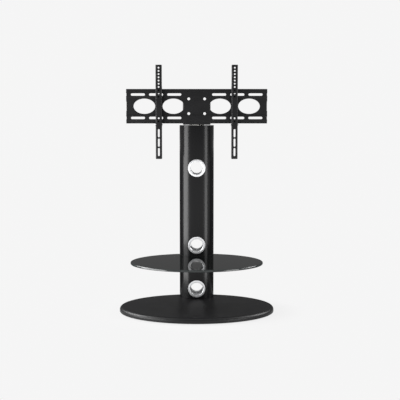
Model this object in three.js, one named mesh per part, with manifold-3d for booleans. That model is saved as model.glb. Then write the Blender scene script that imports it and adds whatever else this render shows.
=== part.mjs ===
// Pedestal television stand: an oval base, one upright extruded column with cable grommets, an oval glass
// shelf notched round the column, and a swivelling head that carries a slotted mounting plate and two
// sliding hook arms. Millimetres, +Z up, the front faces -Y, the origin is under the middle of the base.
import * as THREE from 'three';
import { mergeVertices } from 'three/addons/utils/BufferGeometryUtils.js';
import Module from 'manifold-3d';

const wasm = await Module();
wasm.setup();

// General clearances
const fitGap = 0.3;
const cutOverrun = 2;
const mergeTolerance = 1e-5;

// Proportions of a screw: its tapered point, the rim of its domed head, and its hexagon socket
const pointShare = 0.8;
const taperShare = 0.6;
const rimShare = 0.6;
const domeShare = 0.8;
const socketFloorShare = 0.4;
const socketWidthShare = 0.5;

// Base board, its edge and its feet
const baseWidth = 694;
const baseDepth = 400;
const baseThickness = 23;
const baseTopRadius = 9;
const baseBottomRadius = 2;
const footHeight = 4;
const footRadius = 15;
const footChamfer = 1;
const footInset = 34;
const footAngles = [20, 65, 115, 160, 200, 245, 295, 340];

// Steel plate let into the underside of the base, and the screws that hold the column
const steelPlateWidth = 190;
const steelPlateDepth = 84;
const steelPlateThickness = 3;
const steelPlateCornerRadius = 12;
const baseScrewRadius = 3.9;
const baseScrewHeadRadius = 7;
const baseScrewHeadHeight = 4;
const baseScrewGrip = 34;
const baseScrewClearance = 0.5;

// Extruded column: a flattened curved front, straight flanks and a flat back with rounded corners
const columnWidth = 160;
const columnHeight = 810;
const columnFrontDepth = 65;
const columnFlankDepth = 12;
const columnFrontExponentShare = 2.6;
const columnBackRadius = 8;
const columnWall = 3;
const columnSetback = 95;
const portRadius = 8;
const portBoreRadius = 4.2;
const portFront = { x: 52, y: 20 };
const portRear = { x: 69.5, y: 67 };

// Cable grommets through the front and the back of the column
const grommetFlangeRadius = 40;
const grommetBoreRadius = 30;
const grommetSleeveWall = 3;
const grommetFlangeProud = 2.4;
const grommetEdgeRadius = 1.6;
const grommetBevelShare = 0.3;
const grommetSleeveFront = 32;
const grommetSleeveRear = 25;
const grommetUpperDrop = 195.6;
const grommetMiddleRise = 253.9;
const grommetLowerRise = 47.9;

// Cap inside the top of the column and its screws
const capThickness = 6;
const capScrewRadius = 3.9;
const capScrewHeadRadius = 5.5;
const capScrewHeadHeight = 3;
const capScrewGrip = 22;

// Swivel: bush, bolt, washer and nut
const bushRadius = 32.5;
const bushThickness = 3.4;
const pivotBoltRadius = 5.9;
const pivotBoltHeadRadius = 10.4;
const pivotBoltHeadHeight = 7;
const pivotWasherRadius = 14;
const pivotWasherThickness = 2.5;
const pivotNutRadius = 10.4;
const pivotNutHeight = 9;
const pivotBoltTail = 3;

// Neck bracket: floor flange, upright plate and two folded cheeks
const neckWidth = 126.4;
const neckThickness = 4;
const neckTopDrop = 14;
const neckTopRadius = 10;
const neckFlangeDepth = 84;
const neckFlangeRadius = 18;
const cheekTopDepth = 14;
const cheekBottomDepth = 70;
const cheekFootHeight = 16;

// Mounting plate: a pressed steel sheet with two proud bands that hold the slots
const plateWidth = 642;
const plateHeight = 156.6;
const plateThickness = 2.5;
const plateLead = 15;
const plateCentreRise = 87.9;
const bandInner = 41;
const bandOuter = 65;
const bandStep = 3;
const slotLength = 64;
const slotHeight = 11;
const slotRowOffset = 53;
const slotPlaces = [101.9, 184.6, 267.3];
const windowWidth = 98.4;
const windowHeight = 69;
const windowPlaces = [106, 238.2];
const boltHoleRadius = 6.35;
const boltHoleX = 36.2;
const boltHoleZ = 33.5;
const endNotchDepth = 1.4;
const endNotchHeights = { band: 14, middle: 44 };

// Hook arms: folded channels with a hole row at the top and long slots below
const armWidth = 28.4;
const armThickness = 2.5;
const armLead = 15;
const armTopRise = 186.5;
const armLength = 426;
const armRestX = 172;
const armEndRadius = 4;
const armHoleRadius = 3.85;
const armHolePitch = 14.4;
const armUpperHoles = { top: 13.3, count: 10 };
const armLowerHoles = { top: 240.7, count: 2 };
const armSlotLength = 36.8;
const armSlotWidth = 8.4;
const armSlotPitch = 42.9;
const armSlots = { top: 308.5, count: 3 };
const hookReach = 5;
const hookRoof = 9;
const hookDrop = 9;
const hookSlack = 0.8;
const lockScrewRadius = 2.9;
const lockScrewHeadRadius = 5;
const lockScrewHeadHeight = 3;
const lockScrewDrop = 5;
const lockEarHeight = 11;

// Glass shelf, its edging, and the bracket, screws and pads under it
const shelfWidth = 594;
const shelfDepth = 343;
const shelfThickness = 10;
const shelfTopZ = 230;
const shelfLead = 108;
const shelfEdgeRadius = 4;
const edgingThickness = 1.6;
const edgingReach = 50;
const padThickness = 2;
const padRadius = 11;
const padPlaces = [[-1, 0], [1, 0], [-1, 1], [1, 1]];
const padSpreadX = 92;
const padFrontLead = 125;
const padRearLead = 9;
const bracketThickness = 4;
const bracketFrontHalf = 78;
const bracketRearHalf = 112;
const bracketLead = 143;
const bracketGrip = 45;
const bracketCornerRadius = 14;
const bracketSkirtHeight = 42;
const bracketWindowRadius = 26;
const bracketScrewRadius = 2.9;
const bracketScrewHeadRadius = 5.5;
const bracketScrewHeadHeight = 3;
const bracketScrewGrip = 12;
const bracketScrewDrops = [14, 31];

// Faces per turn
const ovalSteps = 60;
const columnFrontSteps = 20;
const ringSteps = 28;
const roundSteps = 12;
const smallSteps = 10;
const screwSteps = 8;
const cornerSteps = 3;
const hexagonSides = 6;
const baseTopFilletSteps = 4;
const baseBottomFilletSteps = 1;
const shelfFilletSteps = 2;

// Levels and places worked out from the sizes above
const baseBottomZ = footHeight + fitGap;
const baseTopZ = baseBottomZ + baseThickness;
const columnBottomZ = baseTopZ + fitGap;
const columnTopZ = columnBottomZ + columnHeight;
const columnDepth = columnFrontDepth + columnFlankDepth;
const columnFrontY = baseDepth / 2 - columnSetback;
const columnBackY = columnFrontY + columnDepth;
const columnWideY = columnFrontY + columnFrontDepth;
const pivotY = columnFrontY + columnDepth / 2;
const bushBottomZ = columnTopZ + fitGap;
const neckBottomZ = bushBottomZ + bushThickness + fitGap;
const grommetHeights = {
  upper: columnTopZ - grommetUpperDrop,
  middle: columnBottomZ + grommetMiddleRise,
  lower: columnBottomZ + grommetLowerRise,
};
const plateFrontY = columnFrontY - plateLead;
const plateCentreZ = columnTopZ + plateCentreRise;
const plateTopZ = plateCentreZ + plateHeight / 2;
const plateBottomZ = plateCentreZ - plateHeight / 2;
const plateBackY = plateFrontY + bandStep + plateThickness;
const neckFrontY = plateBackY + fitGap;
const armFrontY = plateFrontY - armLead;
const armTopZ = plateCentreZ + armTopRise;
const armBottomZ = armTopZ - armLength;
const shelfBottomZ = shelfTopZ - shelfThickness;
const shelfCentreY = columnFrontY - shelfLead;
const bracketTopZ = shelfBottomZ - padThickness - 2 * fitGap;
const bracketFrontY = columnFrontY - bracketLead;
const bracketRearY = columnFrontY + bracketGrip;
const portPlaces = [
  [-portFront.x, columnFrontY + portFront.y],
  [portFront.x, columnFrontY + portFront.y],
  [-portRear.x, columnFrontY + portRear.y],
  [portRear.x, columnFrontY + portRear.y],
];

const materials = {
  baseLacquer: new THREE.MeshStandardMaterial({ color: 0x1d1d1e, roughness: 0.42, metalness: 0 }),
  columnLacquer: new THREE.MeshStandardMaterial({ color: 0x161617, roughness: 0.32, metalness: 0.3 }),
  steelBlack: new THREE.MeshStandardMaterial({ color: 0x242425, roughness: 0.55, metalness: 0.3 }),
  chrome: new THREE.MeshStandardMaterial({ color: 0xe6e6e8, roughness: 0.08, metalness: 1 }),
  glassBlack: new THREE.MeshStandardMaterial({ color: 0x0b0b0c, roughness: 0.04, metalness: 0 }),
  rubber: new THREE.MeshStandardMaterial({ color: 0x121212, roughness: 0.9, metalness: 0 }),
  nylon: new THREE.MeshStandardMaterial({ color: 0x8f8f8c, roughness: 0.6, metalness: 0 }),
  zinc: new THREE.MeshStandardMaterial({ color: 0xa8aaad, roughness: 0.35, metalness: 1 }),
};

const stand = new THREE.Group();
stand.name = 'tv_stand';

// Solids from three.js geometry, and back again
function toSolid(geometry) {
  const bare = geometry.index ? geometry.clone() : mergeVertices(geometry);
  bare.deleteAttribute('normal');
  bare.deleteAttribute('uv');
  const merged = mergeVertices(bare, mergeTolerance);
  return new wasm.Manifold(new wasm.Mesh({
    numProp: 3,
    vertProperties: new Float32Array(merged.attributes.position.array),
    triVerts: new Uint32Array(merged.index.array),
  }));
}

function toGeometry(solid) {
  const mesh = solid.getMesh();
  const geometry = new THREE.BufferGeometry();
  geometry.setAttribute('position', new THREE.BufferAttribute(new Float32Array(mesh.vertProperties), 3));
  geometry.setIndex(new THREE.BufferAttribute(new Uint32Array(mesh.triVerts), 1));
  const faceted = geometry.toNonIndexed();
  faceted.computeVertexNormals();
  return faceted;
}

function addPiece(name, solid, material, position = [0, 0, 0], parent = stand) {
  const mesh = new THREE.Mesh(toGeometry(solid), material);
  mesh.name = name;
  mesh.position.set(...position);
  parent.add(mesh);
  return mesh;
}

// Settings of a straight extrusion; an arc in the outline gets twice its curveSegments
function extrusion(depth, steps) {
  return { depth, bevelEnabled: false, curveSegments: steps / 2 };
}

// A flat outline raised along +Z from a given level
function raised(outline, bottomZ, height, steps = smallSteps) {
  const geometry = new THREE.ExtrudeGeometry(outline, extrusion(height, steps));
  geometry.translate(0, 0, bottomZ);
  return toSolid(geometry);
}

// An outline drawn in the front view (X across, Z up) and given depth from frontY towards the back
function frontCut(outline, frontY, depth, steps = smallSteps) {
  const geometry = new THREE.ExtrudeGeometry(outline, extrusion(depth, steps));
  geometry.rotateX(Math.PI / 2);
  geometry.translate(0, frontY + depth, 0);
  return toSolid(geometry);
}

// A section drawn in the side view (Y across, Z up) and swept along X
function sideSweep(outline, startX, length, steps = smallSteps) {
  const geometry = new THREE.ExtrudeGeometry(outline, extrusion(length, steps));
  geometry.applyMatrix4(new THREE.Matrix4().set(0, 0, 1, startX, 1, 0, 0, 0, 0, 1, 0, 0, 0, 0, 0, 1));
  return toSolid(geometry);
}

// A turned piece: profile points are [radius, height], and the axis is +Z
function turned(profile, steps = roundSteps) {
  const points = profile.map(([radius, height]) => new THREE.Vector2(radius, height));
  const geometry = new THREE.LatheGeometry(points, steps);
  geometry.rotateX(Math.PI / 2);
  return toSolid(geometry);
}

function joined(solids) {
  return solids.reduce((whole, next) => whole.add(next));
}

function cutBy(solid, cutters) {
  return cutters.reduce((left, cutter) => left.subtract(cutter), solid);
}

// Outlines
function circle(radius, x = 0, y = 0) {
  const shape = new THREE.Shape();
  shape.absarc(x, y, radius, 0, 2 * Math.PI, false);
  return shape;
}

function oval(width, height, x = 0, y = 0) {
  const shape = new THREE.Shape();
  shape.absellipse(x, y, width / 2, height / 2, 0, 2 * Math.PI, false);
  return shape;
}

function roundedBox(width, height, radius, x = 0, y = 0) {
  const right = x + width / 2 - radius;
  const left = x - width / 2 + radius;
  const top = y + height / 2 - radius;
  const bottom = y - height / 2 + radius;
  const shape = new THREE.Shape();
  shape.absarc(right, bottom, radius, -Math.PI / 2, 0, false);
  shape.absarc(right, top, radius, 0, Math.PI / 2, false);
  shape.absarc(left, top, radius, Math.PI / 2, Math.PI, false);
  shape.absarc(left, bottom, radius, Math.PI, 1.5 * Math.PI, false);
  return shape;
}

function polygon(points) {
  return new THREE.Shape(points.map(([x, y]) => new THREE.Vector2(x, y)));
}

// How far the curved front of the column falls back at a distance from its middle
function columnFallback(across) {
  const share = (across / (columnWidth / 2)) ** columnFrontExponentShare;
  return columnFrontDepth * (1 - (1 - share) ** (1 / columnFrontExponentShare));
}

// The column section, grown outwards by a distance (a negative one shrinks it to the inner wall)
function columnOutline(grow) {
  const halfWidth = columnWidth / 2 + grow;
  const frontDepth = columnFrontDepth + grow;
  const backY = columnBackY + grow;
  const cornerRadius = columnBackRadius + grow;
  const power = 2 / columnFrontExponentShare;
  const points = [];
  for (let step = 0; step <= columnFrontSteps; step += 1) {
    const angle = Math.PI * step / columnFrontSteps;
    const across = Math.sign(Math.cos(angle)) * Math.abs(Math.cos(angle)) ** power;
    const forward = Math.abs(Math.sin(angle)) ** power;
    points.push([-halfWidth * across, columnWideY - frontDepth * forward]);
  }
  for (const [side, start] of [[1, 0], [-1, Math.PI / 2]]) {
    const centreX = side * (halfWidth - cornerRadius);
    for (let step = 0; step <= cornerSteps; step += 1) {
      const angle = start + Math.PI / 2 * step / cornerSteps;
      points.push([
        centreX + cornerRadius * Math.cos(angle),
        backY - cornerRadius + cornerRadius * Math.sin(angle),
      ]);
    }
  }
  return polygon(points);
}

// An oval slab whose rim is rounded above and below: stacked rings, each moved in from the oval by the fillet
function ovalSlab(width, depth, bottomZ, thickness, [bottomRadius, bottomSteps], [topRadius, topSteps]) {
  const rings = [];
  for (let step = 0; step <= bottomSteps; step += 1) {
    const angle = Math.PI / 2 * step / bottomSteps;
    rings.push([bottomRadius * (1 - Math.sin(angle)), bottomZ + bottomRadius * (1 - Math.cos(angle))]);
  }
  for (let step = 0; step <= topSteps; step += 1) {
    const angle = Math.PI / 2 * step / topSteps;
    const topZ = bottomZ + thickness;
    rings.push([topRadius * (1 - Math.cos(angle)), topZ - topRadius * (1 - Math.sin(angle))]);
  }
  const positions = [];
  for (const [inset, z] of rings) {
    for (let step = 0; step < ovalSteps; step += 1) {
      const angle = 2 * Math.PI * step / ovalSteps;
      const normal = new THREE.Vector2(Math.cos(angle) / width, Math.sin(angle) / depth).normalize();
      positions.push(
        width / 2 * Math.cos(angle) - inset * normal.x,
        depth / 2 * Math.sin(angle) - inset * normal.y,
        z,
      );
    }
  }
  const bottomCentre = rings.length * ovalSteps;
  positions.push(0, 0, rings[0][1], 0, 0, rings[rings.length - 1][1]);
  const faces = [];
  for (let step = 0; step < ovalSteps; step += 1) {
    const next = (step + 1) % ovalSteps;
    for (let ring = 0; ring < rings.length - 1; ring += 1) {
      const low = ring * ovalSteps;
      const high = low + ovalSteps;
      faces.push(low + step, low + next, high + next, low + step, high + next, high + step);
    }
    const last = (rings.length - 1) * ovalSteps;
    faces.push(bottomCentre, next, step, bottomCentre + 1, last + step, last + next);
  }
  const geometry = new THREE.BufferGeometry();
  geometry.setAttribute('position', new THREE.Float32BufferAttribute(positions, 3));
  geometry.setIndex(faces);
  return toSolid(geometry);
}

// A screw along +Z with its head's underside at zero: a domed head with a hexagon socket above, a shank below
function socketScrew(shankRadius, headRadius, headHeight, grip) {
  const body = turned([
    [0, -grip],
    [shankRadius * pointShare, -grip],
    [shankRadius, -grip + shankRadius * taperShare],
    [shankRadius, 0],
    [headRadius, 0],
    [headRadius, headHeight * rimShare],
    [headRadius * domeShare, headHeight],
    [0, headHeight],
  ], screwSteps);
  const socket = turned([
    [0, headHeight * socketFloorShare],
    [headRadius * socketWidthShare, headHeight * socketFloorShare],
    [headRadius * socketWidthShare, headHeight + cutOverrun],
    [0, headHeight + cutOverrun],
  ], hexagonSides);
  return body.subtract(socket);
}

// Base board with its pocket for the steel plate and the holes of the four column screws
function buildBase() {
  const board = ovalSlab(
    baseWidth,
    baseDepth,
    baseBottomZ,
    baseThickness,
    [baseBottomRadius, baseBottomFilletSteps],
    [baseTopRadius, baseTopFilletSteps],
  );
  const pocketDepth = baseScrewHeadHeight + steelPlateThickness + 2 * fitGap;
  const pocket = raised(
    roundedBox(
      steelPlateWidth + 2 * fitGap,
      steelPlateDepth + 2 * fitGap,
      steelPlateCornerRadius + fitGap,
      0,
      pivotY,
    ),
    baseBottomZ - cutOverrun,
    pocketDepth + cutOverrun,
  );
  const screwHoles = portPlaces.map(([x, y]) => raised(
    circle(baseScrewRadius + baseScrewClearance, x, y),
    baseBottomZ - cutOverrun,
    baseThickness + 2 * cutOverrun,
  ));
  addPiece('base_plate', cutBy(board, [pocket, ...screwHoles]), materials.baseLacquer);

  const steelTopZ = baseBottomZ + pocketDepth - fitGap;
  const steel = raised(
    roundedBox(steelPlateWidth, steelPlateDepth, steelPlateCornerRadius, 0, pivotY),
    steelTopZ - steelPlateThickness,
    steelPlateThickness,
  );
  const steelHoles = portPlaces.map(([x, y]) => raised(
    circle(baseScrewRadius + baseScrewClearance, x, y),
    steelTopZ - steelPlateThickness - cutOverrun,
    steelPlateThickness + 2 * cutOverrun,
  ));
  addPiece('base_steel_plate', cutBy(steel, steelHoles), materials.steelBlack);

  const screw = socketScrew(baseScrewRadius, baseScrewHeadRadius, baseScrewHeadHeight, baseScrewGrip);
  portPlaces.forEach(([x, y], index) => {
    const seatZ = steelTopZ - steelPlateThickness - fitGap;
    const mesh = addPiece(`base_screw_${index + 1}`, screw, materials.zinc, [x, y, seatZ]);
    mesh.rotation.x = Math.PI;
  });

  const foot = turned([
    [0, 0],
    [footRadius - footChamfer, 0],
    [footRadius, footChamfer],
    [footRadius, footHeight],
    [0, footHeight],
  ], smallSteps);
  footAngles.forEach((degrees, index) => {
    const angle = THREE.MathUtils.degToRad(degrees);
    const x = (baseWidth / 2 - footInset) * Math.cos(angle);
    const y = (baseDepth / 2 - footInset) * Math.sin(angle);
    addPiece(`foot_${index + 1}`, foot, materials.rubber, [x, y, 0]);
  });
}

// Column extrusion with four screw ports, cable holes in both faces, and ports cut back under the cap
function buildColumn() {
  const inner = columnOutline(-columnWall);
  const tube = raised(columnOutline(0), columnBottomZ, columnHeight)
    .subtract(raised(inner, columnBottomZ - cutOverrun, columnHeight + 2 * cutOverrun));
  const ports = portPlaces.map(([x, y]) => raised(
    circle(portRadius, x, y),
    columnBottomZ,
    columnHeight - capThickness - fitGap,
  ).intersect(raised(columnOutline(0), columnBottomZ, columnHeight)));
  const portBores = portPlaces.map(([x, y]) => raised(
    circle(portBoreRadius, x, y),
    columnBottomZ - cutOverrun,
    columnHeight + 2 * cutOverrun,
  ));
  const cableHoleRadius = grommetBoreRadius + grommetSleeveWall + fitGap;
  const cableHoles = Object.values(grommetHeights).map((z) => frontCut(
    circle(cableHoleRadius, 0, z),
    columnFrontY - cutOverrun,
    columnDepth + 2 * cutOverrun,
    ringSteps,
  ));
  const bracketHoles = bracketScrewDrops.map((drop) => frontCut(
    circle(bracketScrewRadius + fitGap, 0, bracketTopZ - drop),
    columnFrontY - cutOverrun,
    columnWall + 2 * cutOverrun,
  ));
  const column = cutBy(joined([tube, ...ports]), [...portBores, ...cableHoles, ...bracketHoles]);
  addPiece('column', column, materials.columnLacquer);
}

// Front grommets sit saddle fashion on the curved face; rear ones lie flat on the back
function buildGrommets() {
  const sleeveRadius = grommetBoreRadius + grommetSleeveWall;
  const flangeDepth = grommetFlangeProud + columnFallback(grommetFlangeRadius);
  const flange = turned([
    [grommetBoreRadius, 0],
    [grommetFlangeRadius, 0],
    [grommetFlangeRadius, flangeDepth - grommetEdgeRadius],
    [
      grommetFlangeRadius - grommetEdgeRadius * grommetBevelShare,
      flangeDepth - grommetEdgeRadius * grommetBevelShare,
    ],
    [grommetFlangeRadius - grommetEdgeRadius, flangeDepth],
    [grommetBoreRadius + grommetEdgeRadius, flangeDepth],
    [grommetBoreRadius, flangeDepth - grommetEdgeRadius],
    [grommetBoreRadius, 0],
  ], ringSteps);
  const sleeve = (length) => turned([
    [grommetBoreRadius, -length],
    [sleeveRadius, -length],
    [sleeveRadius, flangeDepth - grommetEdgeRadius],
    [grommetBoreRadius, flangeDepth - grommetEdgeRadius],
    [grommetBoreRadius, -length],
  ], ringSteps);
  const facingFront = (solid, frontY, z) => solid.rotate([90, 0, 0]).translate([0, frontY + flangeDepth, z]);
  const body = raised(columnOutline(fitGap), columnBottomZ, columnHeight);
  for (const [level, z] of Object.entries(grommetHeights)) {
    const frontY = columnFrontY - grommetFlangeProud;
    const saddle = facingFront(flange, frontY, z).subtract(body);
    const frontSleeve = facingFront(sleeve(grommetSleeveFront - flangeDepth + grommetFlangeProud), frontY, z);
    const front = saddle.add(frontSleeve).translate([0, -columnFrontY, -z]);
    addPiece(`front_grommet_${level}`, front, materials.chrome, [0, columnFrontY, z]);

    const rear = turned([
      [grommetBoreRadius, -grommetSleeveRear],
      [sleeveRadius, -grommetSleeveRear],
      [sleeveRadius, fitGap],
      [grommetFlangeRadius, fitGap],
      [grommetFlangeRadius, grommetFlangeProud - grommetEdgeRadius],
      [grommetFlangeRadius - grommetEdgeRadius, grommetFlangeProud],
      [grommetBoreRadius + grommetEdgeRadius, grommetFlangeProud],
      [grommetBoreRadius, grommetFlangeProud - grommetEdgeRadius],
      [grommetBoreRadius, -grommetSleeveRear],
    ], ringSteps).rotate([-90, 0, 0]);
    addPiece(`rear_grommet_${level}`, rear, materials.chrome, [0, columnBackY, z]);
  }
}

// Cap on the screw ports inside the top of the column
function buildCap() {
  const capBottomZ = columnTopZ - capThickness;
  const cap = raised(columnOutline(-columnWall - fitGap), capBottomZ, capThickness);
  const holes = portPlaces.flatMap(([x, y]) => [
    raised(circle(capScrewRadius + fitGap, x, y), capBottomZ - cutOverrun, capThickness + 2 * cutOverrun),
    raised(
      circle(capScrewHeadRadius + fitGap, x, y),
      columnTopZ - capScrewHeadHeight - fitGap,
      capScrewHeadHeight + cutOverrun,
    ),
  ]);
  const pivotHole = raised(
    circle(pivotBoltRadius + fitGap, 0, pivotY),
    capBottomZ - cutOverrun,
    capThickness + 2 * cutOverrun,
  );
  addPiece('column_cap', cutBy(cap, [...holes, pivotHole]), materials.steelBlack);

  const screw = socketScrew(capScrewRadius, capScrewHeadRadius, capScrewHeadHeight, capScrewGrip);
  portPlaces.forEach(([x, y], index) => {
    addPiece(`cap_screw_${index + 1}`, screw, materials.zinc, [x, y, columnTopZ - capScrewHeadHeight]);
  });
}

// Swivel pivot: a bush between the column and the neck, and a bolt with washers and a nut inside the column
function buildPivot() {
  const holeRadius = pivotBoltRadius + fitGap;
  const ring = (outerRadius, thickness, steps) => turned([
    [holeRadius, 0],
    [outerRadius, 0],
    [outerRadius, thickness],
    [holeRadius, thickness],
    [holeRadius, 0],
  ], steps);
  const bush = ring(bushRadius, bushThickness, ringSteps);
  addPiece('swivel_bush', bush, materials.nylon, [0, pivotY, bushBottomZ]);

  const washerTopZ = columnTopZ - capThickness - fitGap;
  const washerBottomZ = washerTopZ - pivotWasherThickness;
  const upperWasherZ = neckBottomZ + neckThickness + fitGap;
  const washer = ring(pivotWasherRadius, pivotWasherThickness, roundSteps);
  addPiece('pivot_washer_upper', washer, materials.zinc, [0, pivotY, upperWasherZ]);
  addPiece('pivot_washer_lower', washer, materials.zinc, [0, pivotY, washerBottomZ]);

  const headSeatZ = upperWasherZ + pivotWasherThickness + fitGap;
  const nutBottomZ = washerBottomZ - fitGap - pivotNutHeight;
  const shankLength = headSeatZ - nutBottomZ + pivotBoltTail;
  const head = raised(circle(pivotBoltHeadRadius), 0, pivotBoltHeadHeight, hexagonSides);
  const shank = turned([
    [0, -shankLength],
    [pivotBoltRadius, -shankLength],
    [pivotBoltRadius, fitGap],
    [0, fitGap],
  ]);
  addPiece('pivot_bolt', head.add(shank), materials.zinc, [0, pivotY, headSeatZ]);
  const nut = raised(circle(pivotNutRadius), 0, pivotNutHeight, hexagonSides)
    .subtract(raised(circle(holeRadius), -cutOverrun, pivotNutHeight + 2 * cutOverrun, roundSteps));
  addPiece('pivot_nut', nut, materials.zinc, [0, pivotY, nutBottomZ]);
}

// Neck bracket: one folded steel piece with a floor flange, an upright plate and a cheek on each side
function buildNeck() {
  const neckTopZ = plateTopZ - neckTopDrop;
  const uprightHeight = neckTopZ - neckBottomZ;
  const upright = frontCut(
    roundedBox(neckWidth, uprightHeight, neckTopRadius, 0, neckBottomZ + uprightHeight / 2),
    neckFrontY,
    neckThickness,
  ).add(frontCut(
    polygon([
      [-neckWidth / 2, neckBottomZ],
      [neckWidth / 2, neckBottomZ],
      [neckWidth / 2, neckBottomZ + uprightHeight / 2],
      [-neckWidth / 2, neckBottomZ + uprightHeight / 2],
    ]),
    neckFrontY,
    neckThickness,
  ));
  const flange = raised(
    roundedBox(neckWidth, neckFlangeDepth, neckFlangeRadius, 0, neckFrontY + neckFlangeDepth / 2),
    neckBottomZ,
    neckThickness,
  ).add(raised(
    polygon([
      [-neckWidth / 2, neckFrontY],
      [neckWidth / 2, neckFrontY],
      [neckWidth / 2, neckFrontY + neckFlangeDepth / 2],
      [-neckWidth / 2, neckFrontY + neckFlangeDepth / 2],
    ]),
    neckBottomZ,
    neckThickness,
  ));
  const cheekSection = polygon([
    [neckFrontY, neckBottomZ],
    [neckFrontY + cheekBottomDepth, neckBottomZ],
    [neckFrontY + cheekBottomDepth, neckBottomZ + cheekFootHeight],
    [neckFrontY + cheekTopDepth, neckTopZ - neckTopRadius],
    [neckFrontY, neckTopZ - neckTopRadius],
  ]);
  const cheekPlaces = [-neckWidth / 2, neckWidth / 2 - neckThickness];
  const cheeks = cheekPlaces.map((x) => sideSweep(cheekSection, x, neckThickness));
  const boltHoles = [-1, 1].flatMap((side) => [-1, 1].map((level) => frontCut(
    circle(boltHoleRadius, side * boltHoleX, plateCentreZ + level * boltHoleZ),
    neckFrontY - cutOverrun,
    neckThickness + 2 * cutOverrun,
    roundSteps,
  )));
  const pivotHole = raised(
    circle(pivotBoltRadius + fitGap, 0, pivotY),
    neckBottomZ - cutOverrun,
    neckThickness + 2 * cutOverrun,
    roundSteps,
  );
  const neck = cutBy(joined([upright, flange, ...cheeks]), [...boltHoles, pivotHole]);
  addPiece('neck_bracket', neck, materials.steelBlack);
}

// Mounting plate: the pressed section swept across the width, then slots, windows, bolt holes and end notches
function buildPlate() {
  const halfHeight = plateHeight / 2;
  const lower = [
    [bandStep, -halfHeight],
    [bandStep, -bandOuter - bandStep],
    [0, -bandOuter],
    [0, -bandInner],
    [bandStep, -bandInner + bandStep],
  ];
  const upper = lower.map(([y, z]) => [y, -z]).reverse();
  const frontLine = [...lower, ...upper].map(([y, z]) => [plateFrontY + y, plateCentreZ + z]);
  const backLine = frontLine.map(([y, z]) => [y + plateThickness, z]).reverse();
  const sheet = sideSweep(polygon([...frontLine, ...backLine]), -plateWidth / 2, plateWidth);
  const cutDepth = bandStep + plateThickness + 2 * cutOverrun;
  const cutStart = plateFrontY - cutOverrun;
  const cutters = [];
  for (const side of [-1, 1]) {
    for (const place of slotPlaces) {
      for (const row of [-1, 1]) {
        const slot = roundedBox(
          slotLength,
          slotHeight,
          slotHeight / 2 - fitGap,
          side * place,
          plateCentreZ + row * slotRowOffset,
        );
        cutters.push(frontCut(slot, cutStart, cutDepth, cornerSteps));
      }
    }
    for (const place of windowPlaces) {
      const window = oval(windowWidth, windowHeight, side * place, plateCentreZ);
      cutters.push(frontCut(window, cutStart, cutDepth, ringSteps));
    }
    for (const level of [-1, 1]) {
      const hole = circle(boltHoleRadius, side * boltHoleX, plateCentreZ + level * boltHoleZ);
      cutters.push(frontCut(hole, cutStart, cutDepth, roundSteps));
    }
    const notch = (height, z) => frontCut(
      roundedBox(2 * endNotchDepth, height, endNotchDepth / 2, side * plateWidth / 2, z),
      cutStart,
      cutDepth,
      cornerSteps,
    );
    cutters.push(notch(endNotchHeights.band, plateCentreZ - slotRowOffset));
    cutters.push(notch(endNotchHeights.middle, plateCentreZ));
    cutters.push(notch(endNotchHeights.band, plateCentreZ + slotRowOffset));
  }
  addPiece('wall_plate', cutBy(sheet, cutters), materials.steelBlack);
}

// One hook arm, modelled about X = 0: a folded channel, open to the back, whose side walls carry the hooks
function armSolid() {
  const centreZ = armBottomZ + armLength / 2;
  const wallBackY = plateFrontY - hookSlack;
  const faceOutline = roundedBox(armWidth, armLength, armEndRadius, 0, centreZ);
  const face = frontCut(faceOutline, armFrontY, armThickness, cornerSteps);
  const lipBackY = plateBackY + hookSlack;
  const hookBackY = lipBackY + hookReach;
  const roofZ = plateTopZ + hookSlack;
  const earTopZ = plateBottomZ - hookSlack;
  const wallTopZ = armTopZ - armEndRadius;
  const wallBottomZ = armBottomZ + armEndRadius;
  const wallSection = polygon([
    [armFrontY, wallBottomZ],
    [wallBackY - armEndRadius, wallBottomZ],
    [wallBackY, wallBottomZ + armEndRadius],
    [wallBackY, earTopZ - lockEarHeight - armEndRadius],
    [hookBackY - armEndRadius, earTopZ - lockEarHeight],
    [hookBackY, earTopZ - lockEarHeight + armEndRadius],
    [hookBackY, earTopZ],
    [wallBackY, earTopZ],
    [wallBackY, roofZ],
    [lipBackY, roofZ],
    [lipBackY, roofZ - hookDrop],
    [hookBackY, roofZ - hookDrop],
    [hookBackY, roofZ + hookRoof - armEndRadius],
    [hookBackY - armEndRadius, roofZ + hookRoof],
    [wallBackY, roofZ + hookRoof + armEndRadius],
    [wallBackY, wallTopZ - armEndRadius],
    [wallBackY - armEndRadius, wallTopZ],
    [armFrontY, wallTopZ],
  ]);
  const wallPlaces = [-armWidth / 2, armWidth / 2 - armThickness];
  const walls = wallPlaces.map((x) => sideSweep(wallSection, x, armThickness));
  const cutStart = armFrontY - cutOverrun;
  const cutDepth = armThickness + 2 * cutOverrun;
  const cutters = [];
  for (const row of [armUpperHoles, armLowerHoles]) {
    for (let index = 0; index < row.count; index += 1) {
      const z = armTopZ - row.top - index * armHolePitch;
      cutters.push(frontCut(circle(armHoleRadius, 0, z), cutStart, cutDepth, smallSteps));
    }
  }
  for (let index = 0; index < armSlots.count; index += 1) {
    const z = armTopZ - armSlots.top - index * armSlotPitch;
    const slot = roundedBox(armSlotWidth, armSlotLength, armSlotWidth / 2 - fitGap, 0, z);
    cutters.push(frontCut(slot, cutStart, cutDepth, cornerSteps));
  }
  const screwZ = earTopZ - lockScrewDrop;
  const screwHole = sideSweep(
    circle(lockScrewRadius + fitGap, hookBackY - lockScrewDrop, screwZ),
    -armWidth / 2 - cutOverrun,
    armWidth + 2 * cutOverrun,
  );
  return cutBy(joined([face, ...walls]), [...cutters, screwHole]);
}

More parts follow.
